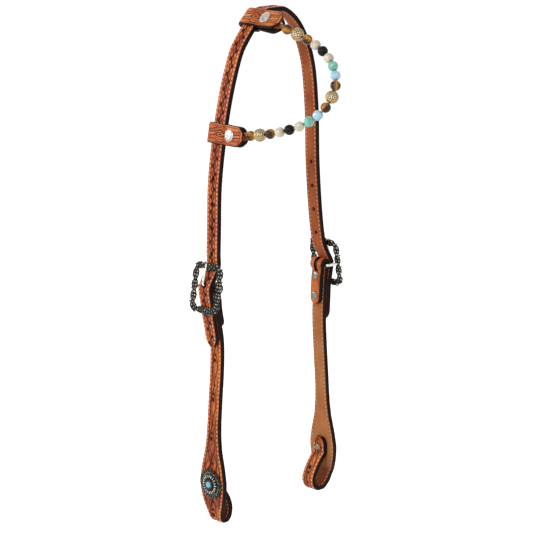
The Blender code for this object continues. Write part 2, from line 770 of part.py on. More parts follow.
def make_tongue(side):
    """A wire looped round the bar, up through the billet's hole and on to the top rail."""
    loop_radius = bar_radius + seat_gap + tongue_radius
    route = [side.round_bar(loop_radius, angle)
             for angle in np.linspace(0, -tongue_loop_angle, tongue_loop_points)]
    crossing = over_radius * math.sin(over_bar_angle)
    skin = over_radius + strap_half + tongue_radius
    rest = rail_depth / 2 + seat_gap + tongue_radius
    entry = (over_radius - strap_half) * tongue_entry_share
    route += [side.bar + outward * entry - downward * (loop_radius + crossing) / 2,
              side.bar + outward * over_radius - downward * crossing,
              side.bar + outward * skin - downward * (crossing + tongue_radius * tongue_rise_share),
              side.at_frame((skin - bar_recess + rest) * tongue_bow_share, -rail_drop * tongue_bow_share),
              side.at_frame(rest, -rail_drop), side.at_frame(rest, -frame_height / 2)]
    line = smooth(route)
    kept = needed(line)
    along = lengths_along(line)
    taper = along[-1] * (1 - tongue_point_share)
    radii = [float(np.interp(along[index], (taper, along[-1]), (tongue_radius, tongue_tip_radius)))
             for index in kept]
    name = side.name + "_buckle_tongue"
    mesh = tube(name, [side.place(*line[index], 0) for index in kept], radii)
    add_piece(name, mesh, metal(name + "_metal", bright_metal), side.place(*side.bar, 0))


for side in sides:
    make_cheek(side)
    make_chape_screws(side)
    make_concho(side)
    make_frame(side)
    make_tongue(side)


# Keepers

class Keeper:
    """A folded keeper's place on the crown: its middle, its normal and the way up the strap."""

    def __init__(self, name, drop, reach, skew, exit_rise):
        self.name = name
        self.reach = reach
        self.skew = skew
        self.exit_rise = exit_rise
        near_half = crown_line[:, 0] < 0
        below = np.abs(crown_line[:, 1] - strap_half + drop)
        self.length = lengths_along(crown_line)[np.argmin(np.where(near_half, below, 1))]
        self.middle = point_at(crown_line, self.length)
        self.normal = normal_at(crown_line, self.length)
        self.up = np.array([self.normal[1], -self.normal[0]])

    def place(self, along_y, out, across):
        at = self.middle + self.normal * out + self.up * across
        return (at[0], along_y, at[1])

    def exit(self, reach):
        """Where the cord crosses a plane at this reach in front."""
        share = (reach - keeper_rivet_reach) / (self.reach - keeper_rivet_reach)
        return self.place(-reach, keeper_grip_middle, self.exit_rise * share)


upper = Keeper("upper_keeper", upper_keeper_drop, upper_keeper_reach, upper_keeper_skew, upper_exit_rise)
lower = Keeper("lower_keeper", lower_keeper_drop, lower_keeper_reach, lower_keeper_skew, lower_exit_rise)
keepers = (upper, lower)
gap_between = np.array([upper.normal, -lower.normal]).T
slip_radius = np.linalg.solve(gap_between, upper.middle - lower.middle)[0]
slip_centre = upper.middle - upper.normal * slip_radius
slip_origin = (slip_centre[0], 0, slip_centre[1])
grip = cord_eye_thickness / 2 + keeper_grip_gap + keeper_thickness / 2


def make_keeper(keeper):
    half = keeper_thickness / 2
    over = strap_half + keeper_out_gap + half
    under = -(strap_half + keeper_in_gap + half)
    inner = (over - under) / 2 - half
    back = strap_width / 2 + keeper_edge_gap - inner * keeper_back_share
    front = -(strap_width / 2 + keeper_lead)
    closed = front - keeper_close
    outer_grip = keeper_grip_middle + grip
    inner_grip = keeper_grip_middle - grip
    radius = (over - under) / 2
    middle = (over + under) / 2
    bend = [(back + radius * math.sin(angle), middle + radius * math.cos(angle))
            for angle in np.linspace(0, math.pi, fold_points)]

    def lay(along_y, out, across):
        """The inner flap drifts down the strap from the fold to its tip."""
        drift = keeper.skew * max(0, front - along_y) / (front + keeper.reach) if out < middle else 0
        return keeper.place(along_y, out, across - drift)

    line = smooth([(-keeper.reach, outer_grip + keeper_splay), (-keeper_rivet_reach, outer_grip),
                   (closed, outer_grip), (front, over)] + bend
                  + [(front, under), (closed, inner_grip), (-keeper_rivet_reach, inner_grip),
                     (-keeper.reach, inner_grip - keeper_splay)])
    total = lengths_along(line)[-1]
    widths = [(share * keeper_tip_length, keeper_width / 2 * width) for share, width in keeper_tip_shares]
    widths += [(total - length, width) for length, width in widths]
    points, faces = ribbon(line, widths, -half, half, "high", lay)
    piece = add_piece(keeper.name, mesh_of(keeper.name, points, faces),
                      leather(keeper.name + "_leather", leather_tooled), slip_origin)
    axis = Vector((keeper.normal[0], 0, keeper.normal[1]))
    centre = keeper.place(-keeper_rivet_reach, 0, 0)
    hole = cylinder(keeper.name + "_hole", centre, axis, post_barrel_radius + leather_hole_gap,
                    inner_grip - half - overrun, outer_grip + half + overrun)
    combine(piece, add_cutter(hole.name, hole))
    cap_seat = outer_grip + half + keeper_grip_gap
    back_seat = inner_grip - half - keeper_grip_gap
    name = keeper.name + "_cap"
    flipped = [(radius, -height) for radius, height in screw_profile(
        keeper_cap_radius, keeper_cap_rise, screw_shank_radius, -cap_seat, -(back_seat + seat_gap))]
    add_piece(name, turned(name, flipped, centre, axis), metal(name + "_nickel", bright_metal), slip_origin)
    name = keeper.name + "_post"
    flipped = [(radius, -height) for radius, height in post_profile(-back_seat, -outer_grip, -back_seat)]
    add_piece(name, turned(name, flipped, centre, axis), metal(name + "_nickel", bright_metal), slip_origin)


def make_cord_end(keeper):
    """A crimped eye round the keeper's post, with a sleeve to the keeper's tip."""
    name = keeper.name.replace("keeper", "cord_end")
    axis = Vector((keeper.normal[0], 0, keeper.normal[1]))
    centre = keeper.place(-keeper_rivet_reach, keeper_grip_middle, 0)
    hole = post_barrel_radius + leather_hole_gap
    half = cord_eye_thickness / 2
    ring = turned(name, [(hole, -half), (cord_eye_radius, -half), (cord_eye_radius, half), (hole, half)],
                  centre, axis, closed=True)
    piece = add_piece(name, ring, metal(name + "_steel", bright_metal), slip_origin)
    start = Vector(keeper.exit(keeper_rivet_reach))
    finish = Vector(keeper.exit(keeper.reach))
    root = start + (finish - start).normalized() * (hole + cord_eye_radius) / 2
    sleeve = tube(name + "_sleeve", [root, finish], [cord_sleeve_radius] * 2)
    combine(piece, add_cutter(sleeve.name, sleeve), "UNION")


for keeper in keepers:
    make_keeper(keeper)
    make_cord_end(keeper)


# Ear cord and beads

route = smooth(ear_route)
route_length = lengths_along(route)[-1]
cord_marks = np.linspace(0, route_length, math.ceil(route_length / cord_point_pitch))
cord_points = [point_at(route, mark) for mark in cord_marks]
cord_origin = tuple(ear_route[0])
cord_mesh = tube("ear_cord", cord_points, [cord_radius] * len(cord_points))
add_piece("ear_cord", cord_mesh, metal("ear_cord_steel", bright_metal), cord_origin)

diameters = [gold_bead_diameter if place in gold_bead_places else bead_diameter
             for place in range(1, bead_count + 1)]
strung = sum(diameters) + bead_gap * (bead_count - 1)
start = (route_length - strung) / 2
print(f"ear cord {route_length:.4f} m, beads {strung:.4f} m, bare at each end {start:.4f} m")
for place, diameter in enumerate(diameters, start=1):
    ends = [Vector(point_at(route, start)), Vector(point_at(route, start + diameter))]
    centre = (ends[0] + ends[1]) / 2
    radius = diameter / 2
    first = math.asin(bead_bore_radius / radius)
    angles = np.linspace(first, math.pi - first, bead_arc_points)
    profile = [(radius * math.sin(angle), radius * math.cos(angle)) for angle in angles]
    name = f"bead_{place:02d}"
    mesh = turned(name, profile, centre, ends[1] - ends[0], bead_steps, closed=True)
    add_piece(name, mesh, make_material(name + "_material", (0.3, 0.2, 0.1, 1), 0, 0.2), centre)
    start += diameter + bead_gap
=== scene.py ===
import math
import bmesh
import bpy
import numpy as np
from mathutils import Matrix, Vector


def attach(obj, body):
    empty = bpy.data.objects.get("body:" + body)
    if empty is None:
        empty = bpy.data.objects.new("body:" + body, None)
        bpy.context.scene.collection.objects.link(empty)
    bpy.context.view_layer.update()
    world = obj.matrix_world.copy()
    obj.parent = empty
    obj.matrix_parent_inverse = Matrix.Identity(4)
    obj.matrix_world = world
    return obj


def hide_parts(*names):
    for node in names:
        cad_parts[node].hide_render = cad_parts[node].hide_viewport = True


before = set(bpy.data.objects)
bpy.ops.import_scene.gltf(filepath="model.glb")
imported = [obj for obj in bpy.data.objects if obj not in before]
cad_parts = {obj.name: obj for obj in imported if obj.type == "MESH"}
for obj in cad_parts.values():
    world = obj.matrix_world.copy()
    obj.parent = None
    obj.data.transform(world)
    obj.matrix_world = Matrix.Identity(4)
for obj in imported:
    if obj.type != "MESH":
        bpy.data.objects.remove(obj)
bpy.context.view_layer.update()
scene = bpy.context.scene
mm = 0.001  # shapes are worked out in millimetres and scaled where a mesh is made


# --- nodes -------------------------------------------------------------

class Wire:
    def __init__(self, graph, socket):
        self.graph, self.socket = graph, socket

    def __add__(self, other):
        return self.graph.maths("ADD", self, other)

    def __sub__(self, other):
        return self.graph.maths("SUBTRACT", self, other)

    def __rsub__(self, other):
        return self.graph.maths("SUBTRACT", other, self)

    def __mul__(self, other):
        return self.graph.maths("MULTIPLY", self, other)

    def __truediv__(self, other):
        return self.graph.maths("DIVIDE", self, other)

    def __pow__(self, other):
        return self.graph.maths("POWER", self, other)

    __radd__, __rmul__ = __add__, __mul__

    def sine(self):
        return self.graph.maths("SINE", self)

    def clip(self, low=0.0, high=1.0):
        return self.graph.add("ShaderNodeClamp", {}, {0: self, 1: low, 2: high})

    def band(self, low, high):  # 0 below low, 1 above high, smooth between
        return self.graph.add("ShaderNodeMapRange", {"interpolation_type": "SMOOTHSTEP"}, {0: self, 1: low, 2: high})


class Graph:
    def __init__(self, tree):
        self.tree = tree

    def add(self, kind, settings=None, values=None, output=0):
        node = self.tree.nodes.new(kind)
        for key, value in (settings or {}).items():
            if key == "stops":
                ramp = node.color_ramp
                while len(ramp.elements) < len(value):
                    ramp.elements.new(0.5)
                for element, (place, colour) in zip(ramp.elements, value):
                    element.position, element.color = place, colour
            else:
                setattr(node, key, value)
        for key, value in (values or {}).items():
            if isinstance(value, Wire):
                self.tree.links.new(value.socket, node.inputs[key])
            else:
                node.inputs[key].default_value = value
        return Wire(self, node.outputs[output])

    def maths(self, operation, *values):
        return self.add("ShaderNodeMath", {"operation": operation}, dict(enumerate(values)))

    def mix(self, share, first, second, blend="MIX"):
        return self.add("ShaderNodeMix", {"data_type": "RGBA", "blend_type": blend},
                        {0: share, 6: first, 7: second}, output=2)


def tone(red, green, blue):
    channels = [((value / 255 + 0.055) / 1.055) ** 2.4 if value > 10 else value / 3294 for value in (red, green, blue)]
    return (*channels, 1.0)


class Finish(Graph):
    def __init__(self, name, **fixed):
        self.material = bpy.data.materials.new(name)
        self.material.use_nodes = True
        super().__init__(self.material.node_tree)
        self.shader = self.tree.nodes["Principled BSDF"]
        for key, value in fixed.items():
            self.shader.inputs[key.replace("_", " ")].default_value = value
        self.place = self.add("ShaderNodeTexCoord", output=3)

    def noise(self, scale, detail=3.0, where=None, roughness=0.55):
        return self.add("ShaderNodeTexNoise", {}, {"Vector": where or self.place, "Scale": scale, "Detail": detail,
                                                   "Roughness": roughness})

    def cells(self, scale, where=None, feature="F1", output=0):
        return self.add("ShaderNodeTexVoronoi", {"feature": feature}, {"Vector": where or self.place, "Scale": scale},
                        output=output)

    def map(self, name, part):  # one number carried by a UV map: part 0 or 1
        place = self.add("ShaderNodeUVMap", {"uv_map": name})
        return self.add("ShaderNodeSeparateXYZ", {}, {0: place}, output=part)

    def mapPlace(self, name):
        return self.add("ShaderNodeUVMap", {"uv_map": name})

    def bump(self, height, strength, distance):
        return self.add("ShaderNodeBump", {}, {"Strength": strength, "Distance": distance, "Height": height})

    def wear(self, **sockets):
        for key, value in sockets.items():
            self.tree.links.new(value.socket, self.shader.inputs[key.replace("_", " ")])
        return self.material


# --- mesh helpers ------------------------------------------------------

def meshPiece(name, points, faces, materials, maps=None, smooth=True, bothMetres=False):
    mesh = bpy.data.meshes.new(name)
    mesh.from_pydata((np.asarray(points, float) * (1 if bothMetres else mm)).tolist(), [], [tuple(face) for face in faces])
    work = bmesh.new()
    work.from_mesh(mesh)
    bmesh.ops.recalc_face_normals(work, faces=work.faces)
    work.to_mesh(mesh)
    work.free()
    for mapName, values in (maps or {}).items():
        layer = mesh.uv_layers.new(name=mapName)
        corners = np.zeros(len(mesh.loops), np.int32)
        mesh.loops.foreach_get("vertex_index", corners)
        layer.data.foreach_set("uv", np.asarray(values, np.float32)[corners].ravel())
    mesh.shade_smooth() if smooth else mesh.shade_flat()
    for material in materials:
        mesh.materials.append(material)
    piece = bpy.data.objects.new(name, mesh)
    scene.collection.objects.link(piece)
    return piece


def gridFaces(rows, columns, loopRows=False, loopColumns=True):
    i, j = np.meshgrid(np.arange(rows if loopRows else rows - 1), np.arange(columns if loopColumns else columns - 1),
                       indexing="ij")
    k, l = (i + 1) % rows, (j + 1) % columns
    return np.stack([i * columns + j, i * columns + l, k * columns + l, k * columns + j], -1).reshape(-1, 4).tolist()


def settle(piece, body, slotName, *nodes):
    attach(piece, body)
    if nodes:
        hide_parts(*nodes)
    return piece


def evaluated(piece, name=None):
    bpy.context.view_layer.update()
    mesh = bpy.data.meshes.new_from_object(piece.evaluated_get(bpy.context.evaluated_depsgraph_get()))
    made = bpy.data.objects.new(name or piece.name, mesh)
    bpy.data.objects.remove(piece, do_unlink=True)
    made.name = name or made.name
    scene.collection.objects.link(made)
    return made


def cutBy(piece, cutter, solver="EXACT"):
    name = piece.name
    modifier = piece.modifiers.new("cut", "BOOLEAN")
    modifier.operation, modifier.solver, modifier.object = "DIFFERENCE", solver, cutter
    made = evaluated(piece)
    made.name = name
    bpy.data.objects.remove(cutter, do_unlink=True)
    return made


def rod(name, points, radii, material, sides=16, twist=None, maps=False, squashTip=None):
    points = np.asarray(points, float)
    radii = np.broadcast_to(np.asarray(radii, float), (len(points),))
    ahead = np.gradient(points, axis=0)
    ahead /= np.linalg.norm(ahead, axis=1)[:, None]
    side = np.cross(ahead[0], (0.0, 1.0, 0.0) if abs(ahead[0][1]) < 0.9 else (1.0, 0.0, 0.0))
    rings, table = [], []
    along = lengthsAlong(points)
    for index, (point, direction) in enumerate(zip(points, ahead)):
        side = side - direction * (side @ direction)
        side /= np.linalg.norm(side)
        up = np.cross(direction, side)
        for step in range(sides):
            angle = 2 * math.pi * step / sides
            reach = radii[index] * (1 if twist is None else twist(angle, along[index]))
            rings.append(point + reach * (math.cos(angle) * side + math.sin(angle) * up))
            table.append((along[index] / 10, step / sides))
    faces = gridFaces(len(points), sides)
    faces += [list(range(sides)), list(range((len(points) - 1) * sides, len(points) * sides))]
    return meshPiece(name, rings, faces, [material], {"along": table} if maps else None)


def turnedPiece(name, profile, centre, axis, material, steps=40, closed=False, shape=None):
    turn = Vector(axis).to_track_quat("Z", "Y").to_matrix()
    turn = np.array(turn)
    angles = 2 * np.pi * np.arange(steps) / steps
    rings, faces, first = [], [], 0
    starts = []
    for radius, height in profile:
        if radius == 0:
            rings.append([(0, 0, height)])
        else:
            reach = np.full(steps, float(radius))
            level = np.full(steps, float(height))
            if shape:
                reach, level = shape(reach, level, angles)
            rings.append(np.column_stack([reach * np.cos(angles), reach * np.sin(angles), level]))
        starts.append((first, len(rings[-1])))
        first += len(rings[-1])
    pairs = list(zip(starts, starts[1:])) + ([(starts[-1], starts[0])] if closed else [])
    for (low, lowCount), (high, highCount) in pairs:
        for step in range(steps):
            after = (step + 1) % steps
            corners = [low + step % lowCount, low + after % lowCount, high + after % highCount, high + step % highCount]
            faces.append(list(dict.fromkeys(corners)))
    local = np.vstack(rings)
    points = np.asarray(centre) + local @ turn.T
    return meshPiece(name, points, faces, [material])


# --- lines of the straps, in millimetres: outward and up ---------------

def smoothLine(points, step=0.5):
    points = np.array(points, float)
    points = np.vstack([2 * points[0] - points[1], points, 2 * points[-1] - points[-2]])
    line = []
    for p0, p1, p2, p3 in zip(points, points[1:], points[2:], points[3:]):
        t1 = math.sqrt(np.linalg.norm(p1 - p0))
        t2 = t1 + math.sqrt(np.linalg.norm(p2 - p1))
        t3 = t2 + math.sqrt(np.linalg.norm(p3 - p2))
        t = np.linspace(t1, t2, max(2, math.ceil(np.linalg.norm(p2 - p1) / step)), endpoint=False)[:, None]
        a1 = (t1 - t) / t1 * p0 + t / t1 * p1
        a2 = (t2 - t) / (t2 - t1) * p1 + (t - t1) / (t2 - t1) * p2
        a3 = (t3 - t) / (t3 - t2) * p2 + (t - t2) / (t3 - t2) * p3
        b1 = (t2 - t) / t2 * a1 + t / t2 * a2
        b2 = (t3 - t) / (t3 - t1) * a2 + (t - t1) / (t3 - t1) * a3
        line.append((t2 - t) / (t2 - t1) * b1 + (t - t1) / (t2 - t1) * b2)
    return np.vstack(line + [points[-2:-1]])


def lengthsAlong(line):
    return np.concatenate([[0.0], np.cumsum(np.linalg.norm(np.diff(line, axis=0), axis=1))])


class Line:
    def __init__(self, points, highest=None, lowest=None):
        self.points = smoothLine(points)
        if highest is not None:
            self.points[:, 1] = np.minimum(self.points[:, 1], highest)
        if lowest is not None:
            self.points[:, 1] = np.maximum(self.points[:, 1], self.points[:, 1].min() + lowest)
        self.along = lengthsAlong(self.points)
        self.total = self.along[-1]

    def at(self, lengths):
        return np.stack([np.interp(lengths, self.along, self.points[:, axis]) for axis in (0, 1)], -1)

    def normal(self, lengths):
        ahead = self.at(lengths + 0.5) - self.at(lengths - 0.5)
        ahead /= np.linalg.norm(ahead, axis=-1)[..., None]
        return np.stack([-ahead[..., 1], ahead[..., 0]], -1)


outward, downward = np.array([0.98480775, 0.17364818]), np.array([0.17364818, -0.98480775])

crownPoints = [
    (-70.43, -311.00), (-70.89, -304.20), (-71.84, -297.54), (-73.19, -290.55), (-74.61, -283.66), (-76.01, -276.26),
    (-79.68, -255.17), (-79.55, -252.83), (-78.87, -250.60), (-69.25, -233.58), (-69.12, -220.91), (-68.42, -198.51),
    (-66.81, -152.95), (-58.18, -97.98), (-48.51, -60.06), (-38.48, -33.34), (-31.47, -23.16), (-23.97, -14.25),
    (-16.68, -6.69), (-11.99, -2.21), (-7.99, 0.89), (-3.50, 2.44), (13.74, 2.42), (20.40, 0.25), (34.00, -10.18),
    (46.06, -27.99), (55.10, -52.94), (60.57, -96.96), (62.39, -150.92), (66.31, -198.00), (69.40, -220.40),
    (72.35, -233.58), (81.97, -250.60), (82.65, -252.83), (82.78, -255.17), (79.21, -275.81), (78.86, -282.89),
    (78.54, -290.06), (78.17, -297.19), (78.01, -304.09), (78.12, -311.09)]
foldPoints = [(65.77, -255.26), (65.97, -253.00), (67.27, -251.13), (69.34, -250.17), (71.60, -250.37),
              (73.47, -251.67), (74.43, -253.74)]
nearCheekPoints = [
    (62.02, -292.44), (63.31, -285.85), (64.69, -279.31), (65.69, -273.25), (66.22, -266.51), (67.35, -259.30)
] + foldPoints + [
    (72.41, -260.50), (71.40, -266.99), (70.66, -275.50), (68.00, -288.96), (65.68, -302.08), (64.91, -315.91),
    (65.61, -337.95), (67.51, -362.09), (69.61, -394.91), (70.59, -424.91), (70.87, -446.94), (70.24, -462.88),
    (68.28, -476.01), (66.31, -482.59), (61.90, -485.99), (56.99, -483.20), (54.68, -474.51), (57.13, -464.52),
    (61.83, -456.55), (65.58, -452.33), (65.64, -449.16), (65.68, -445.99), (65.69, -442.85), (65.68, -439.69),
    (65.63, -436.53)]
farCheekPoints = [
    (67.74, -293.47), (68.07, -286.86), (68.37, -280.17), (68.72, -273.47), (69.22, -266.53), (70.36, -259.26)
] + [(out + 3.1, up) for out, up in foldPoints] + [
    (75.41, -260.50), (74.40, -266.99), (73.82, -275.50), (73.18, -288.96), (72.62, -302.08), (72.97, -318.02),
    (74.52, -341.93), (77.32, -379.90), (78.72, -412.02), (79.21, -429.13), (79.63, -442.72), (80.19, -457.26),
    (80.61, -467.80), (77.67, -478.82), (69.82, -484.21), (61.69, -480.93), (58.88, -473.43), (62.60, -463.58),
    (70.10, -453.27), (74.64, -448.42), (74.52, -445.21), (74.41, -442.00), (74.30, -438.79), (74.20, -435.58),
    (74.11, -432.38)]

crownLine = Line(crownPoints, highest=2.4)
crownWidths = ([0, 1, 3, 6, 10, 677.93, 681.93, 684.93, 686.93, 687.93],
               [1.11, 3.34, 5.56, 7.23, 7.95, 7.95, 7.23, 5.56, 3.34, 1.11])
cheeks = {
    "near": {"sign": -1, "line": Line(nearCheekPoints, lowest=0.8), "bar": (70.1, -254.5), "foldStart": 37.99,
             "concho": 246.14, "conchoPlace": (70.87, -446.94), "conchoAim": (0.99992, -0.01289),
             "screws": (((71.576, -265.539), (0.9921, -0.12547)), ((68.776, -285.109), (0.97818, -0.20774)))},
    "far": {"sign": 1, "line": Line(farCheekPoints, lowest=0.8), "bar": (73.2, -254.5), "foldStart": 38.66,
            "concho": 242.16, "conchoPlace": (79.63, -442.72), "conchoAim": (0.9994, 0.03476),
            "screws": (((74.570, -265.507), (0.99262, -0.12128)), ((73.347, -285.265), (0.99905, -0.04364)))}}
for cheek in cheeks.values():
    cheek["frame"] = cheek["bar"] + 8.5 * outward
    middle, total = cheek["concho"], cheek["line"].total
    stops = [(0, 2.49), (1.06, 4.22), (3.05, 5.79), (6.01, 6.5), (cheek["foldStart"] - 5, 6.5), (cheek["foldStart"], 7.95)]
    stops += [(middle + 62 * place, 7.95 + 8.75 * share) for place, share in (
        (-1.0, 0.0), (-0.76, 0.07), (-0.53, 0.27), (-0.26, 0.75), (-0.06, 1.0), (0.06, 1.0), (0.21, 0.86),
        (0.34, 0.60), (0.48, 0.21), (0.61, 0.02), (0.71, 0.0))]
    stops += [(total - 7.35, 7.95), (total - 3.73, 7.08), (total - 1.29, 5.16), (total, 3.04)]
    cheek["widths"] = tuple(zip(*stops))


def sidePlace(sign):
    return lambda out, up, across: np.stack([sign * out, across, up], -1)


print("headstall: lines ready")


# --- leather -----------------------------------------------------------

leatherLook = {"high": tone(224, 122, 56), "tan": tone(184, 82, 34), "deep": tone(84, 26, 12), "ink": tone(30, 9, 6),
               "edge": (tone(20, 9, 7), tone(36, 20, 16))}


def paintedEdge(m, colour, edge, grain):
    paint = (edge + grain * 0.3 - 0.15).band(0.35, 0.62)
    return paint, m.mix(paint, colour, m.mix(m.noise(60.0, 4.0), *leatherLook["edge"]))


def tooledLeather(name, streaks, **changes):
    look = {**leatherLook, **changes}
    m = Finish(name, Specular_IOR_Level=0.08, Coat_Roughness=0.32)
    relief, edge = m.map("carve", 0), m.map("carve", 1)
    patches, grain, pores = m.noise(38.0, 4.0), m.noise(1500.0, 2.0), m.cells(900.0)
    stamp = m.cells(130.0, where=m.mapPlace("along"))
    face = m.mix(patches.band(0.35, 0.68), look["tan"], look["high"])
    face = m.mix(m.noise(160.0, 5.0).band(0.52, 0.78) * 0.4, face, tone(148, 58, 22))
    drawn = m.noise(1.0, 3.0, where=m.add("ShaderNodeMapping", {}, {0: m.mapPlace("along"), 3: (5.0, 40.0, 1.0)}))
    face = m.mix(drawn.band(0.5, 0.66) * streaks, face, tone(110, 38, 15))
    shade = (relief + grain * 0.12 - 0.06).band(0.25, 0.95)
    ground = m.mix(stamp.band(0.1, 0.5) * 0.5, look["deep"], tone(112, 38, 18))
    ground = m.mix((relief + grain * 0.1 - 0.05).band(0.0, 0.14), look["ink"], ground)
    paint, colour = paintedEdge(m, m.mix(shade, ground, face), edge, grain)
    rough = 0.52 - relief * 0.16 + grain * 0.1 + paint * 0.1
    height = grain * 0.35 + pores * 0.4 + stamp * (1 - relief).clip() * 1.6
    return m.wear(Base_Color=colour, Roughness=rough, Coat_Weight=relief * 0.3 * (1 - paint),
                  Normal=m.bump(height, 0.35, 0.00012))


def liningLeather(name, light, dark, inner):
    m = Finish(name, Specular_IOR_Level=0.1)
    edge, outsideShadeAndFurrow = m.map("carve", 1), m.map("carve", 0)
    patches, grain = m.noise(30.0, 5.0), m.noise(1100.0, 3.0)
    streak = m.noise(9.0, 3.0, where=m.add("ShaderNodeMapping", {}, {0: m.place, 3: (14.0, 14.0, 1.0)}))
    specks = m.cells(520.0)
    colour = m.mix((patches * 0.6 + streak * 0.4).band(0.35, 0.65), dark, light)
    colour = m.mix(grain.band(0.5, 0.8) * 0.3, colour, m.mix(0.4, colour, tone(40, 18, 10)))
    # The lining takes the inner colour where the carve map is low: painted shade over the span inside the bit loop, and
    # a darker line along the stitch furrow.
    colour = m.mix(outsideShadeAndFurrow, inner, colour)
    paint, colour = paintedEdge(m, colour, edge, grain)
    rough = 0.6 + grain * 0.12 - paint * 0.06
    return m.wear(Base_Color=colour, Roughness=rough, Normal=m.bump(specks * 0.5 + grain * 0.8, 0.3, 0.0001))


def threadFinish(name, light, dark):
    m = Finish(name, Roughness=0.62)
    twist = (m.noise(2600.0, 2.0)).band(0.35, 0.7)
    colour = m.mix(twist, dark, light)
    return m.wear(Base_Color=m.mix(m.noise(50.0).band(0.5, 0.75) * 0.4, colour, dark), Normal=m.bump(twist, 0.4, 0.0001))


crownTooled = tooledLeather("crownTooledLeather", 0.3)
cheekTooled = tooledLeather("cheekTooledLeather", 0.6, high=tone(226, 126, 54), tan=tone(176, 80, 30))
keeperTooled = tooledLeather("keeperTooledLeather", 0.6, high=tone(242, 150, 80), tan=tone(216, 114, 54))
# Each lining's last tone is its darker inner tone: the stitch-furrow line, and on the cheeks also the painted shade
# inside the bit loop.
crownLined = liningLeather("crownLiningLeather", tone(172, 94, 52), tone(142, 68, 34), tone(142, 68, 34))
cheekLined = liningLeather("cheekLiningLeather", tone(190, 126, 76), tone(166, 98, 54), tone(138, 72, 40))
crownThread = threadFinish("crownThread", tone(248, 222, 200), tone(210, 162, 136))
cheekThread = threadFinish("cheekThread", tone(250, 222, 186), tone(206, 150, 106))
liningThread = threadFinish("liningThread", tone(240, 206, 172), tone(196, 142, 102))


# --- strap shapes ------------------------------------------------------

strapSize = {"step": 0.6, "edgeRound": 0.7, "dome": 0.6, "domeReach": 3.4, "carveDepth": 0.6, "columns": 34,
             "stitchInset": 2.3}


def strip(name, line, widths, low, high, place, material, carve=None, step=None, columns=None, shadedSpan=None):
    step, columns = step or strapSize["step"], columns or strapSize["columns"]
    stations = np.linspace(0, line.total, math.ceil(line.total / step))
    half = np.interp(stations, *widths)[:, None]
    scale = np.clip(half / 3, 0.3, 1)
    inset = np.array([0, 0.1, 0.28, 0.6, 1.1])[None, :]
    inner = np.linspace(-1, 1, columns)[None, 1:-1] * (half - 1.1 * scale)
    across = np.hstack([-(half - inset * scale), inner, (half - inset * scale)[:, ::-1]])
    fromEdge = half - np.abs(across)
    radius = strapSize["edgeRound"] * scale
    turn = np.clip(radius - fromEdge, 0, None)
    drop = radius - np.sqrt(np.clip(radius ** 2 - turn ** 2, 0, None))
    s = np.repeat(stations[:, None], across.shape[1], 1)
    relief = np.ones_like(across)
    if carve:
        relief = carve(s, across, np.repeat(half, across.shape[1], 1))
        drop = drop + strapSize["dome"] * scale * np.clip(1 - fromEdge / strapSize["domeReach"], 0, 1) ** 2
    if shadedSpan:  # lengths over which the lining takes a painted shade: the inside of the bit loop
        relief = 1 - np.clip(np.minimum(s - shadedSpan[0], shadedSpan[1] - s) / 6, 0, 1)
    if not carve:  # the furrow that the lining's stitches lie in
        relief = relief * (1 - 0.8 * groove(fromEdge - strapSize["stitchInset"], 0.9))
    sign = 1 if high > low else -1
    top = high - sign * (drop + (strapSize["carveDepth"] * (1 - relief) if carve else 0))
    edge = 1 - np.clip((fromEdge - np.where(across < 0, 0.75, 0.25)) / 0.35, 0, 1)
    shoulder = radius + (strapSize["dome"] * scale if carve else 0)
    wall = [high - sign * (shoulder + share * (abs(high - low) - shoulder - 0.2)) for share in (0.35, 0.7)]
    under = np.array([1, 0.96, 0, -0.96, -1])[None, :] * half
    lows = np.array([0.2, 0, 0, 0, 0.2])[None, :] * sign + np.full_like(under, low)
    offsets = np.hstack([top, wall[0], wall[1], lows, wall[1], wall[0]])
    sides = np.hstack([across, half, half, under, -half, -half])
    rims = np.hstack([edge, np.ones((len(stations), 9))])
    rims[:, across.shape[1] + 4] = 0
    reliefs = np.hstack([relief, np.ones((len(stations), 9))])
    middle, normal = line.at(stations)[:, None, :], line.normal(stations)[:, None, :]
    at = middle + normal * offsets[..., None]
    points = place(at[..., 0], at[..., 1], sides).reshape(-1, 3)
    rows, size = offsets.shape
    faces = gridFaces(rows, size) + [list(range(size)), list(range((rows - 1) * size, rows * size))]
    lengths = np.repeat(stations[:, None], size, 1)
    maps = {"along": np.stack([lengths * 0.02, sides * 0.02], -1).reshape(-1, 2),
            "carve": np.stack([reliefs, rims], -1).reshape(-1, 2)}
    return meshPiece(name, points, faces, [material], maps)


def groove(distance, width):
    share = np.clip(1.45 * (1 - np.abs(distance) / width), 0, 1)
    return share * share * (3 - 2 * share)


def cut(distance, width, halo=0.9):
    return np.maximum(groove(distance, width), 0.5 * groove(distance, width + halo))


def crownCarving(s, across, half):
    fromEdge = half - np.abs(across)
    wave = 2.0 * (2 / math.pi) * np.arcsin(0.97 * np.sin(2 * math.pi * s / 14.4))
    turn = 7.2 * (np.floor(s / 7.2) + 0.5)
    peak = 2.0 * np.where(np.floor(s / 7.2) % 2 == 0, 1, -1)
    away = np.hypot(s - turn, (across - peak) * 1.1)
    cuts = [0.5 * groove(fromEdge - strapSize["stitchInset"], 0.8), 0.95 * cut(fromEdge - 4.1, 0.45, 0.4), 0.95 * cut(across - wave, 1.2),
            0.9 * cut(across + 1.25 * wave, 0.75, 0.6), 0.7 * groove(across + 0.45 * wave, 0.45),
            np.where(away < 1.45, 1.0, cut(away - 1.45, 0.5)) * (1 - 0.45 * groove(away, 0.7))]
    return 1 - np.max(cuts, 0) * np.clip(fromEdge / 0.8, 0, 1)


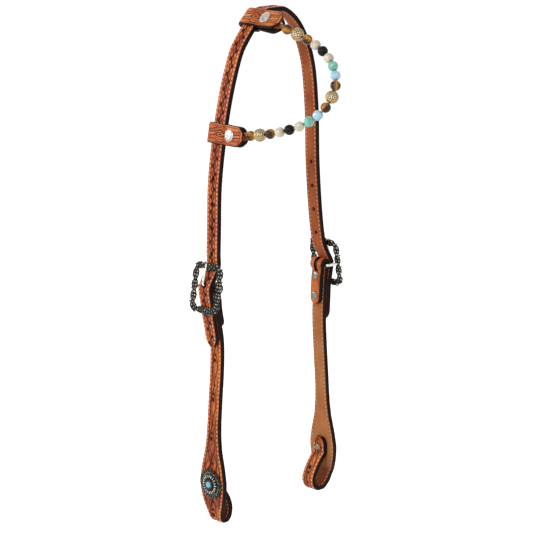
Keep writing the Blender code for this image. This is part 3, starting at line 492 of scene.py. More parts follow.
cheekWaves = (  # middle, reach, phase, repeats, half width, depth: long leaves lie between these lines
    (1.5, 1.6, 0.0, 1, 0.6, 0.95), (-1.0, 1.9, 2.3, 1, 0.55, 0.9), (-2.7, 0.9, 0.6, 2, 0.35, 0.75), (0.2, 2.7, 4.0, 1, 0.3, 0.65),
    (2.5, 1.2, 2.0, 2, 0.28, 0.6), (-0.3, 3.4, 5.2, 1, 0.22, 0.45))
cheekSpare = ((-10.2, 0.4), (-6.6, 2.2), (-3.0, 4.4), (0.8, 0.2), (4.4, 1.9), (7.8, 4.2), (10.8, 0.9))
cheekSeeds = ((3.6, 0.6, 1.5, 1.25), (9.0, 1.0, 2.3, 1.75), (22.0, 3.2, 1.1, 0.7), (33.4, -0.6, 1.2, 0.8))


def cheekCarving(plainUntil):
    def carve(s, across, half):
        fromEdge = half - np.abs(across)
        spread = np.clip(half - 3.3, 0.5, None) / 4.65
        b = across / spread
        turn = 2 * math.pi * s / 38.5
        cuts = [depth * cut(b - middle - reach * np.sin(repeats * turn + phase), width * (0.75 + 0.4 * np.cos(turn + phase)), 0.8)
                for middle, reach, phase, repeats, width, depth in cheekWaves]
        spare = across * 16 / half  # more leaves where the strap widens
        cuts += [0.9 * np.clip((half - 9) / 4, 0, 1) * cut(spare - level - 1.4 * np.sin(2 * math.pi * s / 27 + phase), 0.75, 0.5)
                 for level, phase in cheekSpare]
        for place, middle, long, wide in cheekSeeds:
            away = np.hypot((np.mod(s - place + 19.25, 38.5) - 19.25) / long, (b - middle) / wide)
            cuts.append(np.clip(2.1 - 1.6 * away, 0, 1))
        relief = np.where(fromEdge < 3.6, 1.0, 1 - np.max(cuts, 0))
        relief = np.minimum(relief, 1 - 0.8 * groove(fromEdge - 3.7, 0.45))
        relief = np.minimum(relief, 1 - 0.9 * cut(fromEdge - 4.0, 0.7, 0.4) * (across > 0))
        relief = np.minimum(relief, 1 - 0.5 * groove(fromEdge - strapSize["stitchInset"], 0.8))
        return np.where(s < plainUntil, 1 - 0.5 * groove(fromEdge - 1.6, 0.5), relief)
    return carve


def crownPlace(out, up, across):
    return np.stack([out, across, up], -1)


holeSize = {"worn": 2.7, "spare": 2.1, "near": (61.62, 93.42, 117.22, 141.02, 164.82),
            "far": (626.70, 594.90, 571.10, 547.30, 523.50), "sides": 20}


def billetHoles():
    points, faces = [], []
    for side in ("near", "far"):
        for number, length in enumerate(holeSize[side]):
            radius = holeSize["worn"] if number == 0 else holeSize["spare"]
            middle, normal = crownLine.at(length), crownLine.normal(np.array(length))
            first, sides = len(points), holeSize["sides"]
            ahead = np.array([normal[1], -normal[0]])
            for offset in (-3.5, 3.5):
                for step in range(sides):
                    angle = 2 * math.pi * step / sides
                    at = middle + normal * offset + ahead * radius * math.cos(angle)
                    points.append((at[0], radius * math.sin(angle), at[1]))
            faces += [list(range(first, first + sides)), list(range(first + sides, first + 2 * sides))]
            faces += [[first + step, first + (step + 1) % sides, first + sides + (step + 1) % sides,
                       first + sides + step] for step in range(sides)]
    return meshPiece("billetHoleCutter", points, faces, [crownTooled])


def makeCrown():
    tooled = strip("crownTooled", crownLine, crownWidths, -0.1, 2.4, crownPlace, crownTooled, crownCarving)
    lining = strip("crownLining", crownLine, crownWidths, -0.4, -2.4, crownPlace, crownLined, None, step=1.2, columns=12)
    tooled, lining = cutBy(tooled, billetHoles()), cutBy(lining, billetHoles())
    settle(tooled, "crown", "crown_strap", "crown_strap")
    settle(lining, "crown", "crown_lining", "crown_lining")


def chapeSlot(cheek):
    reach = 8.8
    corners = [cheek["bar"] + outward * out + downward * down
               for out, down in ((-reach, -reach), (reach, -reach), (reach, 6.5), (-reach, 6.5))]
    points = [(cheek["sign"] * corner[0], y, corner[1]) for y in (-2.3, 2.3) for corner in corners]
    faces = [(0, 1, 2, 3), (7, 6, 5, 4), (0, 4, 5, 1), (1, 5, 6, 2), (2, 6, 7, 3), (3, 7, 4, 0)]
    return meshPiece("chapeSlotCutter", points, faces, [cheekTooled])


def makeCheek(side):
    cheek = cheeks[side]
    place, body = sidePlace(cheek["sign"]), side + "_cheek"
    tooled = strip(side + "CheekTooled", cheek["line"], cheek["widths"], -0.1, 2.4, place, cheekTooled,
                   cheekCarving(cheek["foldStart"] + 12), columns=44)
    # The lining is given painted shade from past the concho to its end, inside the bit loop.
    lining = strip(side + "CheekLining", cheek["line"], cheek["widths"], -0.4, -2.4, place, cheekLined, None,
                   step=1.0, columns=16, shadedSpan=(cheek["concho"] + 18, cheek["line"].total + 10))
    tooled, lining = cutBy(tooled, chapeSlot(cheek)), cutBy(lining, chapeSlot(cheek))
    settle(tooled, body, side + "_cheek_strap", side + "_cheek_strap")
    settle(lining, body, side + "_cheek_lining", side + "_cheek_lining")


# --- rows of small things along a path ---------------------------------

def rowTree():
    tree = bpy.data.node_groups.new("rowAlongPath", "GeometryNodeTree")
    face = tree.interface
    face.new_socket("Geometry", in_out="OUTPUT", socket_type="NodeSocketGeometry")
    face.new_socket("Geometry", in_out="INPUT", socket_type="NodeSocketGeometry")
    for label, kind in (("Spacing", "Float"), ("Count", "Int"), ("Size", "Vector"), ("Lean", "Float"), ("Wobble", "Float"),
                        ("Sides", "Int"), ("Rings", "Int"), ("Finish", "Material")):
        face.new_socket(label, in_out="INPUT", socket_type="NodeSocket" + kind)
    g = Graph(tree)
    given = tree.nodes.new("NodeGroupInput")
    value = {socket.name: Wire(g, socket) for socket in given.outputs}
    curve = g.add("GeometryNodeMeshToCurve", {}, {0: value["Geometry"]})
    spaced = g.add("GeometryNodeResampleCurve", {"mode": "LENGTH"}, {"Curve": curve, "Length": value["Spacing"]})
    counted = g.add("GeometryNodeResampleCurve", {"mode": "COUNT"}, {"Curve": curve, "Count": value["Count"]})
    useCount = g.add("FunctionNodeCompare", {"data_type": "INT", "operation": "GREATER_THAN"}, {2: value["Count"], 3: 0})
    path = g.add("GeometryNodeSwitch", {"input_type": "GEOMETRY"}, {0: useCount, 1: spaced, 2: counted})
    upward = g.add("GeometryNodeInputNamedAttribute", {"data_type": "FLOAT_VECTOR"}, {"Name": "outward"})
    tangent = g.add("GeometryNodeInputTangent")
    first = g.add("FunctionNodeAlignRotationToVector", {"axis": "Z"}, {"Vector": upward})
    second = g.add("FunctionNodeAlignRotationToVector", {"axis": "X", "pivot_axis": "Z"},
                   {"Rotation": first, "Vector": tangent})
    sway = g.add("FunctionNodeRandomValue", {"data_type": "FLOAT"}, {2: -1.0, 3: 1.0, "Seed": 7}, output=1)
    lean = g.add("ShaderNodeCombineXYZ", {}, {2: value["Lean"] + sway * value["Wobble"]})
    turn = g.add("FunctionNodeRotateRotation", {"rotation_space": "LOCAL"}, {0: second, 1: g.add("FunctionNodeEulerToRotation", {}, {0: lean})})
    grow = g.add("FunctionNodeRandomValue", {"data_type": "FLOAT"}, {2: -0.5, 3: 0.5, "Seed": 3}, output=1)
    size = g.add("ShaderNodeVectorMath", {"operation": "SCALE"}, {0: value["Size"], "Scale": grow * value["Wobble"] + 1.0})
    bead = g.add("GeometryNodeMeshUVSphere", {}, {"Segments": value["Sides"], "Rings": value["Rings"], "Radius": 0.5})
    smooth = g.add("GeometryNodeSetShadeSmooth", {}, {0: bead})
    placed = g.add("GeometryNodeInstanceOnPoints", {}, {"Points": path, "Instance": smooth, "Rotation": turn, "Scale": size})
    real = g.add("GeometryNodeRealizeInstances", {}, {0: placed})
    painted = g.add("GeometryNodeSetMaterial", {}, {"Geometry": real, "Material": value["Finish"]})
    result = tree.nodes.new("NodeGroupOutput")
    tree.links.new(painted.socket, result.inputs[0])
    return tree


rowNodes = rowTree()


def row(name, paths, values, loop=False):
    # paths: list of (points, outward directions), in millimetres
    points, edges, aims = [], [], []
    for places, normals in paths:
        first = len(points)
        points += [tuple(place) for place in np.asarray(places) * mm]
        aims += [tuple(normal) for normal in normals]
        edges += [(first + step, first + step + 1) for step in range(len(places) - 1)]
        if loop:
            edges.append((len(points) - 1, first))
    mesh = bpy.data.meshes.new(name + "Path")
    mesh.from_pydata(points, edges, [])
    mesh.attributes.new("outward", "FLOAT_VECTOR", "POINT").data.foreach_set("vector", np.array(aims, np.float32).ravel())
    guide = bpy.data.objects.new(name + "Path", mesh)
    scene.collection.objects.link(guide)
    modifier = guide.modifiers.new("row", "NODES")
    modifier.node_group = rowNodes
    settings = {"Spacing": 1.0, "Count": 0, "Lean": 0.0, "Wobble": 0.0, "Sides": 8, "Rings": 5, **values}
    settings["Spacing"] *= mm
    settings["Size"] = [part * mm for part in settings["Size"]]
    for item in rowNodes.interface.items_tree:
        if item.in_out == "INPUT" and item.name in settings:
            modifier[item.identifier] = settings[item.name]
    made = evaluated(guide, name)
    return made


stitchSize = {"Spacing": 4.15, "Wobble": 0.1, "top": (2.85, 1.15, 0.6), "below": (2.9, 1.0, 0.6)}


def stitchRows(line, widths, place, start, end, offset, inset=None):
    lengths = np.linspace(start, end, max(3, int((end - start) / 1.5)))
    half = np.interp(lengths, *widths)
    normal = line.normal(lengths)
    middle = line.at(lengths) + normal * offset
    aim = place(normal[:, 0], normal[:, 1], np.zeros(len(lengths))) * (1 if offset > 0 else -1)
    inset = inset or strapSize["stitchInset"]
    return [(place(middle[:, 0], middle[:, 1], side * (half - inset)), aim) for side in (-1, 1)]


def sewBoth(name, line, widths, place, start, end, topThread, body, node):
    for label, offset, finish in (("Top", 2.4 - 0.28, topThread), ("Lining", -2.38, liningThread)):
        values = {"Spacing": stitchSize["Spacing"], "Wobble": stitchSize["Wobble"], "Finish": finish,
                  "Size": stitchSize["top" if offset > 0 else "below"]}
        settle(row(name + label + "Stitches", stitchRows(line, widths, place, start, end, offset), values), body, node)


def makeStitches():
    sewBoth("crown", crownLine, crownWidths, crownPlace, 5.5, crownLine.total - 5.5, crownThread, "crown", "crown_strap")
    for side, cheek in cheeks.items():
        sewBoth(side + "Cheek", cheek["line"], cheek["widths"], sidePlace(cheek["sign"]), cheek["foldStart"] + 13,
                cheek["line"].total - 8, cheekThread, side + "_cheek", side + "_cheek_strap")


makeCrown()
makeCheek("near")
makeCheek("far")
makeStitches()
print("headstall: straps and stitches ready")


# --- metal finishes ----------------------------------------------------

def antiqueMetal(name, dark, middle, light):
    m = Finish(name, Metallic=1.0, Specular_IOR_Level=0.5)
    relief = m.map("carve", 0)
    tarnish = m.noise(320.0, 4.0)
    shine = (relief + (tarnish - 0.5) * 0.5).band(0.55, 0.98)
    colour = m.mix(shine, m.mix(tarnish, dark, middle), light)
    rough = 0.4 - shine * 0.18 + tarnish * 0.1
    return m.wear(Base_Color=colour, Roughness=rough, Normal=m.bump(m.noise(1600.0, 3.0), 0.25, 0.00008))


def brightMetal(name, light, dark, rough, scale=260.0, hammered=False):
    m = Finish(name, Metallic=1.0)
    wear = m.noise(scale, 4.0)
    colour = m.mix(wear.band(0.3, 0.75), dark, light)
    height = m.cells(420.0, feature="SMOOTH_F1") if hammered else m.noise(1800.0, 2.0)
    return m.wear(Base_Color=colour, Roughness=wear * 0.2 + rough,
                  Normal=m.bump(height, 0.5 if hammered else 0.15, 0.0003 if hammered else 0.00005))


gunmetal = antiqueMetal("antiqueGunmetal", tone(18, 17, 16), tone(52, 49, 46), tone(204, 200, 190))
conchoMetal = antiqueMetal("conchoGunmetal", tone(12, 11, 10), tone(40, 37, 34), tone(176, 172, 162))
polished = brightMetal("polishedSilver", tone(232, 230, 224), tone(176, 174, 168), 0.14)
nickel = brightMetal("nickelPlate", tone(206, 203, 194), tone(150, 147, 140), 0.24)
smoked = brightMetal("smokedNickel", tone(150, 144, 132), tone(92, 88, 82), 0.16)
hammered = brightMetal("hammeredNickel", tone(208, 203, 197), tone(152, 147, 142), 0.26, 500.0, True)
wireGrey = brightMetal("twistedWire", tone(150, 144, 136), tone(92, 86, 80), 0.34, 900.0)


# --- buckles -----------------------------------------------------------

buckleSize = {"halfWidth": 16.25, "halfHeight": 20.75, "corner": 5.75, "lenses": 13, "sway": 1.85, "strand": (1.82, 1.85),
              "berry": 1.55, "knuckles": 43, "steps": 860}


def railPath(count):
    w, h, r = buckleSize["halfWidth"], buckleSize["halfHeight"], buckleSize["corner"]
    line, normals = [], []
    for turn, (x, y) in enumerate(((1, 1), (-1, 1), (-1, -1), (1, -1))):
        for step in range(24):
            angle = math.pi / 2 * (turn + step / 23)
            normal = np.array([math.cos(angle), math.sin(angle)])
            line.append(np.array([x * (w - r), y * (h - r)]) + r * normal)
            normals.append(normal)
    line, normals = np.array(line + line[:1]), np.array(normals + normals[:1])
    along = lengthsAlong(line)
    stops = along[-1] * np.arange(count) / count
    points = np.column_stack([np.interp(stops, along, line[:, axis]) for axis in (0, 1)])
    aims = np.column_stack([np.interp(stops, along, normals[:, axis]) for axis in (0, 1)])
    return points, aims / np.linalg.norm(aims, axis=1)[:, None]


def makeBuckle(side):
    sign, body = cheeks[side]["sign"], side + "_buckle"

    def place(plane, depth):  # plane: (along y, down); depth: outward from the frame's middle
        at = cheeks[side]["frame"] + outward * np.asarray(depth)[..., None] + downward * plane[..., 1:2]
        return np.stack([sign * at[..., 0], plane[..., 0], at[..., 1]], -1)

    steps = buckleSize["steps"]
    centres, normals = railPath(steps)
    centres, normals = np.vstack([centres, centres]), np.vstack([normals, normals])
    phase = math.pi * buckleSize["lenses"] * np.arange(2 * steps) / steps
    sway = buckleSize["sway"] * np.sin(phase)
    weave = 0.35 * np.cos(phase)  # one strand passes over the other where they cross
    middle = centres + normals * sway[:, None]
    wide, deep = buckleSize["strand"]
    knuckle = 0.5 + 0.5 * np.cos(2 * math.pi * buckleSize["knuckles"] * np.arange(2 * steps) / steps)
    count = 14
    rings, shine = [], []
    for step in range(count):
        angle = 2 * math.pi * step / count
        reach = wide * math.cos(angle) * (0.9 + 0.14 * knuckle)
        furrow = 0.45 if step in (3, 4, 10, 11) else 0.0
        height = deep * abs(math.sin(angle)) - furrow + 0.4 * (knuckle - 0.5) * abs(math.sin(angle))
        rings.append(place(middle + normals * reach[:, None], weave + (1 if math.sin(angle) > 0 else -1) * height))
        shine.append((0.1 if furrow else 0.25 + 0.35 * abs(math.sin(angle))) + 0.5 * (knuckle - 0.3) * (not furrow))
    rings = np.stack(rings, 1)
    relief = np.clip(np.stack(shine, 1), 0, 1)
    braid = meshPiece(side + "BuckleBraid", rings.reshape(-1, 3), gridFaces(2 * steps, count, loopRows=True), [gunmetal],
                      {"carve": np.stack([relief, relief * 0], -1).reshape(-1, 2)})
    settle(braid, body, side + "_buckle_frame", side + "_buckle_frame")

    points, aims = railPath(steps)
    around = 2 * np.pi * np.arange(8) / 8  # a dark core closes the eyes of the braid: painted shade for the dark seen through them
    shadowCore = np.stack([place(points + aims * 1.75 * math.cos(a), np.full(steps, 0.85 * math.sin(a))) for a in around], 1)
    settle(meshPiece(side + "BuckleCore", shadowCore.reshape(-1, 3), gridFaces(steps, 8, loopRows=True), [shadowCoreMetal]), body,
           side + "_buckle_frame")
    berries = []
    for reach, depth in ((3.1, 0.9), (3.1, -0.9), (-2.7, 0.8)):
        centre = place(points + aims * reach, np.full(steps, depth))
        berries.append((centre, [(sign * outward[0], 0, outward[1])] * steps))
    dots = row(side + "BuckleBerries", berries, {"Count": buckleSize["lenses"], "Size": (buckleSize["berry"],) * 3,
                                                 "Sides": 10, "Rings": 7, "Finish": berryMetal}, loop=True)
    settle(dots, body, side + "_buckle_frame")

    reach, straight, bend = buckleSize["halfWidth"], 9.3, 12.8
    stops = [(-reach, 0), (-bend, -4.25), (-straight, -8.5), (straight, -8.5), (bend, -4.25), (reach, 0)]
    route = smoothLine([(y, depth) for y, depth in stops], 0.8)
    path = place(np.column_stack([route[:, 0], np.zeros(len(route))]), route[:, 1])
    path[:, 0] = np.clip(np.abs(path[:, 0]), cheeks[side]["bar"][0], None) * sign
    bar = rod(side + "BuckleBar", path, 1.55, polished, 18)
    settle(bar, body, side + "_buckle_frame")


def makeTongue(side):
    sign, bar, middle = (cheeks[side][key] for key in ("sign", "bar", "frame"))
    loopRadius, over, crossing = 3.1, 9.6, 9.6 * math.sin(math.radians(14))

    def roundBar(radius, angle):
        return bar + radius * (math.cos(angle) * outward - math.sin(angle) * downward)

    skin, rest = over + 2.4 + 1.2, 2.1 + 0.3 + 1.2
    route = [roundBar(loopRadius, angle) for angle in np.linspace(0, -math.radians(270), 10)]
    route += [bar + outward * (over - 2.4) * 0.7 - downward * (loopRadius + crossing) / 2,
              bar + outward * over - downward * crossing, bar + outward * skin - downward * (crossing + 1.8),
              middle + outward * (skin - 8.5 + rest) * 0.55 - downward * 20.75 * 0.55,
              middle + outward * rest - downward * 20.75, middle + outward * rest - downward * 23.5]
    line = smoothLine(route, 0.4)
    along = lengthsAlong(line)
    radii = np.interp(along, (0, along[-1] * 0.75, along[-1] - 0.7, along[-1]), (1.2, 1.2, 0.82, 0.45))
    points = np.column_stack([sign * line[:, 0], np.zeros(len(line)), line[:, 1]])
    settle(rod(side + "Tongue", points, radii, polished, 18), side + "_tongue", side + "_buckle_tongue",
           side + "_buckle_tongue")


def plainAntique(name, light, dark):
    m = Finish(name, Metallic=1.0)
    wear = m.noise(600.0, 3.0)
    return m.wear(Base_Color=m.mix(wear.band(0.35, 0.7), dark, light), Roughness=wear * 0.25 + 0.22,
                  Normal=m.bump(m.noise(2200.0), 0.2, 0.00006))


berryMetal = plainAntique("berryGunmetal", tone(150, 147, 139), tone(48, 46, 44))
rimMetal = plainAntique("ropeRimGunmetal", tone(132, 129, 122), tone(18, 17, 16))
# The buckle core's dark metal is painted shade, standing in for the dark seen through the braid's eyes.
shadowCoreMetal = plainAntique("buckleShadowCoreGunmetal", tone(52, 49, 46), tone(14, 13, 13))
rayMetal = plainAntique("raySilver", tone(232, 228, 214), tone(140, 136, 126))


# --- conchos -----------------------------------------------------------

conchoSize = {"radius": 14.75, "rays": 20, "lobes": 24}


def turquoiseFinish():
    m = Finish("turquoise", Roughness=0.22, Coat_Weight=0.5, Coat_Roughness=0.08)
    veins = m.cells(260.0, feature="DISTANCE_TO_EDGE")
    colour = m.mix(m.noise(420.0, 3.0).band(0.3, 0.7), tone(84, 182, 230), tone(132, 212, 244))
    colour = m.mix(veins.band(0.0, 0.03), tone(76, 132, 152), colour)
    return m.wear(Base_Color=colour, Normal=m.bump(m.noise(900.0), 0.1, 0.0001))


def makeConcho(side):
    cheek = cheeks[side]
    sign, body = cheek["sign"], side + "_cheek"
    aim = np.array([sign * cheek["conchoAim"][0], 0, cheek["conchoAim"][1]])
    centre = np.array([sign * cheek["conchoPlace"][0], 0, cheek["conchoPlace"][1]])
    down = np.cross(aim, (0, 1, 0))
    cross = np.cross(aim, down)
    back, outer = 2.7, conchoSize["radius"]
    radii = np.concatenate([[outer - 0.5, outer], np.linspace(outer - 0.05, 3.4, 74), [3.35, 3.3, 3.3, 3.3, 0.6]])
    steps = 264
    angles = 2 * np.pi * np.arange(steps) / steps
    r, turn = np.meshgrid(radii, angles, indexing="ij")
    base = np.interp(r, (3.3, 4.0, 4.6, 7.6, 11.15, 13.0, 14.1, 14.75), (6.55, 6.55, 6.3, 5.25, 3.75, 4.2, 3.95, 3.4))
    lobes = np.cos(conchoSize["lobes"] * turn)
    rays = np.cos(conchoSize["rays"] * turn)
    inRays = np.clip((r - 5.6) / 0.6, 0, 1) * np.clip((9.6 - r) / 0.6, 0, 1)
    inRim = np.clip((r - 10.2) / 0.4, 0, 1)
    scallop = np.hypot((r - 11.9) / 1.15, np.sin(conchoSize["lobes"] * turn / 2) * 1.5)
    second = np.hypot((r - 10.6) / 0.9, np.cos(conchoSize["lobes"] * turn / 2) * 1.5)
    engraved = np.maximum(groove(scallop - 0.75, 0.5), groove(second - 0.7, 0.45) * (r > 9.9))
    rise = inRays * 0.2 * np.clip(rays * 1.6 + 0.1, -1, 1) + 0.28 * engraved * (inRim + 0.4) + inRim * 0.1 * lobes
    rise -= 0.25 * groove(r - 9.85, 0.35) + 0.2 * groove(r - 4.55, 0.3)
    relief = 0.28 + 0.2 * inRays * np.clip(rays, 0, 1) + 0.5 * engraved * (r > 9.9) + 0.4 * groove(r - 3.9, 0.5)
    relief += 0.3 * groove(r - 9.4, 0.25)
    height = base + rise
    reach = r - 0.35 * (r > outer - 0.8) * (1 - lobes) / 2
    height[0] = back
    height[1] = back + 0.5
    height[-3], height[-2], height[-1] = 6.3, 5.6, 5.6
    reach[0] = outer - 0.9
    points = centre + aim * height[..., None] + (np.cos(turn) * reach)[..., None] * cross + (np.sin(turn) * reach)[..., None] * down
    rows = len(radii)
    faces = gridFaces(rows, steps) + [list(range(steps)), list(range((rows - 1) * steps, rows * steps))]
    plate = meshPiece(side + "Concho", points.reshape(-1, 3), faces, [conchoMetal],
                      {"carve": np.stack([np.clip(relief, 0, 1), relief * 0], -1).reshape(-1, 2)})
    settle(plate, body, side + "_concho_plate", side + "_concho_plate")

    ring = 2 * np.pi * np.arange(240) / 240
    circle = lambda radius, level: centre + aim * level + radius * (np.cos(ring)[:, None] * cross + np.sin(ring)[:, None] * down)
    rope = row(side + "ConchoRope", [(circle(13.95, 3.85), [tuple(aim)] * 240)],
               {"Count": 56, "Size": (1.8, 0.85, 0.9), "Lean": 0.75, "Sides": 8, "Rings": 6, "Finish": rimMetal}, loop=True)
    settle(rope, body, side + "_concho_plate")
    rayRows = [(circle(7.7, 5.3), [tuple(aim)] * 240)]
    rays = row(side + "ConchoRays", rayRows, {"Count": conchoSize["rays"], "Size": (1.1, 4.2, 1.0), "Wobble": 0.05, "Sides": 8,
                                              "Rings": 6, "Finish": rayMetal}, loop=True)
    settle(rays, body, side + "_concho_plate")
    pearls = row(side + "ConchoBezelBeads", [(circle(4.35, 6.35), [tuple(aim)] * 240)],
                 {"Count": 26, "Size": (0.85, 0.85, 0.7), "Sides": 8, "Rings": 6, "Finish": rimMetal}, loop=True)
    settle(pearls, body, side + "_concho_plate")
    dome = [(0, 5.7), (2.95, 5.7), (3.0, 6.6)] + [(3.0 * math.cos(a), 6.6 + 1.3 * math.sin(a)) for a in np.linspace(0.15, 1.45, 9)] + [(0, 7.9)]
    stone = turnedPiece(side + "Turquoise", dome, centre, aim, turquoise, 40)
    settle(stone, body, side + "_concho_stone", side + "_concho_stone")
    screw(side + "ConchoScrew", centre, aim, 3.3, 1.9, 4.0, body, side + "_concho_screw", smoked, slotted=True)


# --- screws and rivets -------------------------------------------------

def screw(name, centre, aim, radius, shank, tip, body, node, finish, slotted=False):
    seat = -7.9
    dome = [(0, seat - 1.5)] + [(radius * math.sin(a), seat - 0.45 - 1.05 * math.cos(a)) for a in np.linspace(0.2, math.pi / 2, 8)]
    profile = dome + [(radius, seat - 0.1), (radius - 0.1, seat), (shank, seat), (shank, tip), (0, tip)]
    piece = turnedPiece(name, profile, centre, aim, finish, 36)
    if slotted:
        aim = np.asarray(aim, float) / np.linalg.norm(aim)
        side = np.cross(aim, (0, 1, 0))
        other = np.cross(aim, side)
        across, along = side * math.cos(0.6) + other * math.sin(0.6), other * math.cos(0.6) - side * math.sin(0.6)
        points = [np.asarray(centre) + aim * (seat - level) + across * x * 0.36 + along * y * (radius + 1)
                  for level in (0.85, 2.6) for x, y in ((-1, -1), (1, -1), (1, 1), (-1, 1))]
        faces = [(0, 1, 2, 3), (7, 6, 5, 4), (0, 4, 5, 1), (1, 5, 6, 2), (2, 6, 7, 3), (3, 7, 4, 0)]
        piece = cutBy(piece, meshPiece(name + "Slot", points, faces, [finish]))
    settle(piece, body, node, node)


def makeScrews(side):
    cheek = cheeks[side]
    for label, (place, aim) in zip(("upper", "lower"), cheek["screws"]):
        centre = (cheek["sign"] * place[0], 0, place[1])
        screw(f"{side}ChapeScrew{label.title()}", centre, (cheek["sign"] * aim[0], 0, aim[1]), 4.0, 1.3,
              1.4, side + "_cheek", f"{side}_chape_screw_{label}", smoked)
        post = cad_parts[f"{side}_chape_post_{label}"]
        post.data.materials.clear()
        post.data.materials.append(nickel)


# --- keepers -----------------------------------------------------------

keeperSize = {"half": 1.5, "over": 4.35, "under": -5.0, "back": 7.556, "front": -8.55, "closed": -12.05,
              "outerGrip": 3.55, "innerGrip": -2.35, "splay": 0.3, "rivet": 17.8}
keepers = {
    "upper": {"middle": (-15.909, -5.923), "normal": (-0.70469, 0.70952), "reach": 37.9, "rise": -1.0, "skew": 2.6},
    "lower": {"middle": (-60.189, -108.183), "normal": (-0.98276, 0.1849), "reach": 34.5, "rise": 4.4, "skew": 0.0}}
keeperGrooves = ((-5.6, 0.3, 0.6), (-4.3, 0.35, 0.9), (-3.0, 0.3, 0.7), (-1.6, 0.4, 0.95), (1.4, 0.4, 0.95),
                 (2.7, 0.3, 0.7), (4.0, 0.4, 0.9), (5.3, 0.3, 0.6))  # across, half width, depth


def makeKeeper(label):
    keeper, size = keepers[label], keeperSize
    reach = keeper["reach"]
    middle, normal = np.array(keeper["middle"]), np.array(keeper["normal"])
    up = np.array([normal[1], -normal[0]])

    def place(alongY, out, across):  # the inner flap drifts down the strap towards its tip
        drift = keeper["skew"] * np.clip(size["front"] - alongY, 0, None) / (size["front"] + reach)
        across = across - np.where(out < -0.3, drift, 0.0)
        return np.stack([middle[0] + normal[0] * out + up[0] * across, alongY + 0 * across,
                         middle[1] + normal[1] * out + up[1] * across], -1)

    radius = (size["over"] - size["under"]) / 2
    level = (size["over"] + size["under"]) / 2
    route = [(-reach, size["outerGrip"] + size["splay"]), (-size["rivet"], size["outerGrip"]), (size["closed"], size["outerGrip"]),
             (size["front"], size["over"])]
    route += [(size["back"] + radius * math.sin(angle), level + radius * math.cos(angle)) for angle in np.linspace(0, math.pi, 7)]
    route += [(size["front"], size["under"]), (size["closed"], size["innerGrip"]), (-size["rivet"], size["innerGrip"]),
              (-reach, size["innerGrip"] - size["splay"])]
    line = Line(route)
    total = line.total
    stops = [(8.0 * share, 9.6 * width) for share, width in ((0.0, 0.42), (0.12, 0.56), (0.25, 0.66), (0.6, 0.90), (1.0, 1.0))]
    stops += [(total - length, width) for length, width in stops[::-1]]
    rivetAt = reach - size["rivet"]

    def carve(s, across, half):
        ends = np.minimum(s, total - s)
        fromEdge = np.minimum(half - np.abs(across), ends * 0.75)
        a = rivetAt - s
        flow = across * (1 - 0.5 * np.exp(-((a + 11.5) / 6.5) ** 2)) + 0.6 * np.sin(a / 5 + 1.3)
        oval = np.hypot((a + 11.5) / 2.7, across + 0.4)
        lines = np.max([depth * cut(flow - level, width, 0.5) for level, width, depth in keeperGrooves], 0)
        lines = lines * np.clip((oval - 2.4) / 0.4, 0, 1)
        relief = 1 - np.maximum.reduce([lines, 0.95 * cut(oval - 2.0, 0.4, 0.5), 0.9 * cut(oval - 0.4, 0.45, 0.4)])
        shown = (fromEdge > 2.1) & (s < total * 0.47) & (s > 3)
        relief = np.where(shown, relief, 1.0)
        relief = np.minimum(relief, 1 - 0.8 * groove(fromEdge - 1.9, 0.45))
        return np.minimum(relief, 1 - 0.5 * groove(fromEdge - 1.0, 0.3))

    piece = strip(label + "Keeper", line, tuple(zip(*stops)), -1.5, 1.5, place, keeperTooled, carve, step=0.5, columns=40)
    settle(piece, "ear_piece", label + "_keeper", label + "_keeper")

    aim = np.array([normal[0], 0, normal[1]])
    seat = size["outerGrip"] + size["half"] + 0.1
    centre = np.array([middle[0], -size["rivet"], middle[1]])
    rng = np.random.default_rng(11 if label == "upper" else 12)
    dents = rng.uniform(-5.2, 5.2, (46, 2))

    def beat(reachNow, levelNow, angles):
        x, y = reachNow * np.cos(angles), reachNow * np.sin(angles)
        away = np.sort(np.hypot(x[:, None] - dents[:, 0], y[:, None] - dents[:, 1]), 1)
        lift = np.clip(away[:, 0] / 1.1, 0, 1) ** 2 * 0.16 - 0.1
        return reachNow, levelNow + np.where(reachNow < 5.3, lift, 0)

    rims = [(5.75 * math.sin(a), seat + 0.25 + 0.95 * math.cos(a)) for a in np.linspace(0.06, math.pi / 2, 22)]
    profile = [(0, seat + 1.2)] + rims + [(5.7, seat), (1.3, seat), (1.3, -2.0), (0, -2.0)]
    cap = turnedPiece(label + "RivetCap", profile, centre, aim, hammered, 64, shape=beat)
    settle(cap, "ear_piece", label + "_keeper_cap", label + "_keeper_cap")
    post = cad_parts[label + "_keeper_post"]
    post.data.materials.clear()
    post.data.materials.append(nickel)

    start = place(np.array(-size["rivet"]), np.array(0.6), np.array(0.0))
    finish = place(np.array(-reach), np.array(0.6), np.array(keeper["rise"]))
    run = (finish - start) / np.linalg.norm(finish - start)
    share = np.linspace(0.17, 1, 60)[:, None]
    path = start + (finish - start) * share
    crimps = 0.93 + 0.07 * np.cos(np.arange(60) * 2 * math.pi / 10)
    sleeve = rod(label + "CordSleeve", path, 0.95 * crimps, nickel, 16)
    settle(sleeve, "ear_piece", label + "_cord_end")
    ringAngles = 2 * math.pi * np.arange(49) / 48
    side = np.cross(aim, run)
    eye = [start + 3.35 * (math.cos(a) * run + math.sin(a) * side) for a in ringAngles]
    eyePiece = rod(label + "CordEye", eye, 0.8, wireGrey, 12, twist=lambda angle, s: 0.9 + 0.1 * abs(math.cos(1.5 * angle - 2.2 * s)))
    settle(eyePiece, "ear_piece", label + "_cord_end", label + "_cord_end")


turquoise = turquoiseFinish()
for side in cheeks:
    makeBuckle(side)
    makeTongue(side)
    makeConcho(side)
    makeScrews(side)
print("headstall: buckles, conchos and screws ready")
for label in keepers:
    makeKeeper(label)
print("headstall: keepers ready")


# --- ear cord and beads ------------------------------------------------

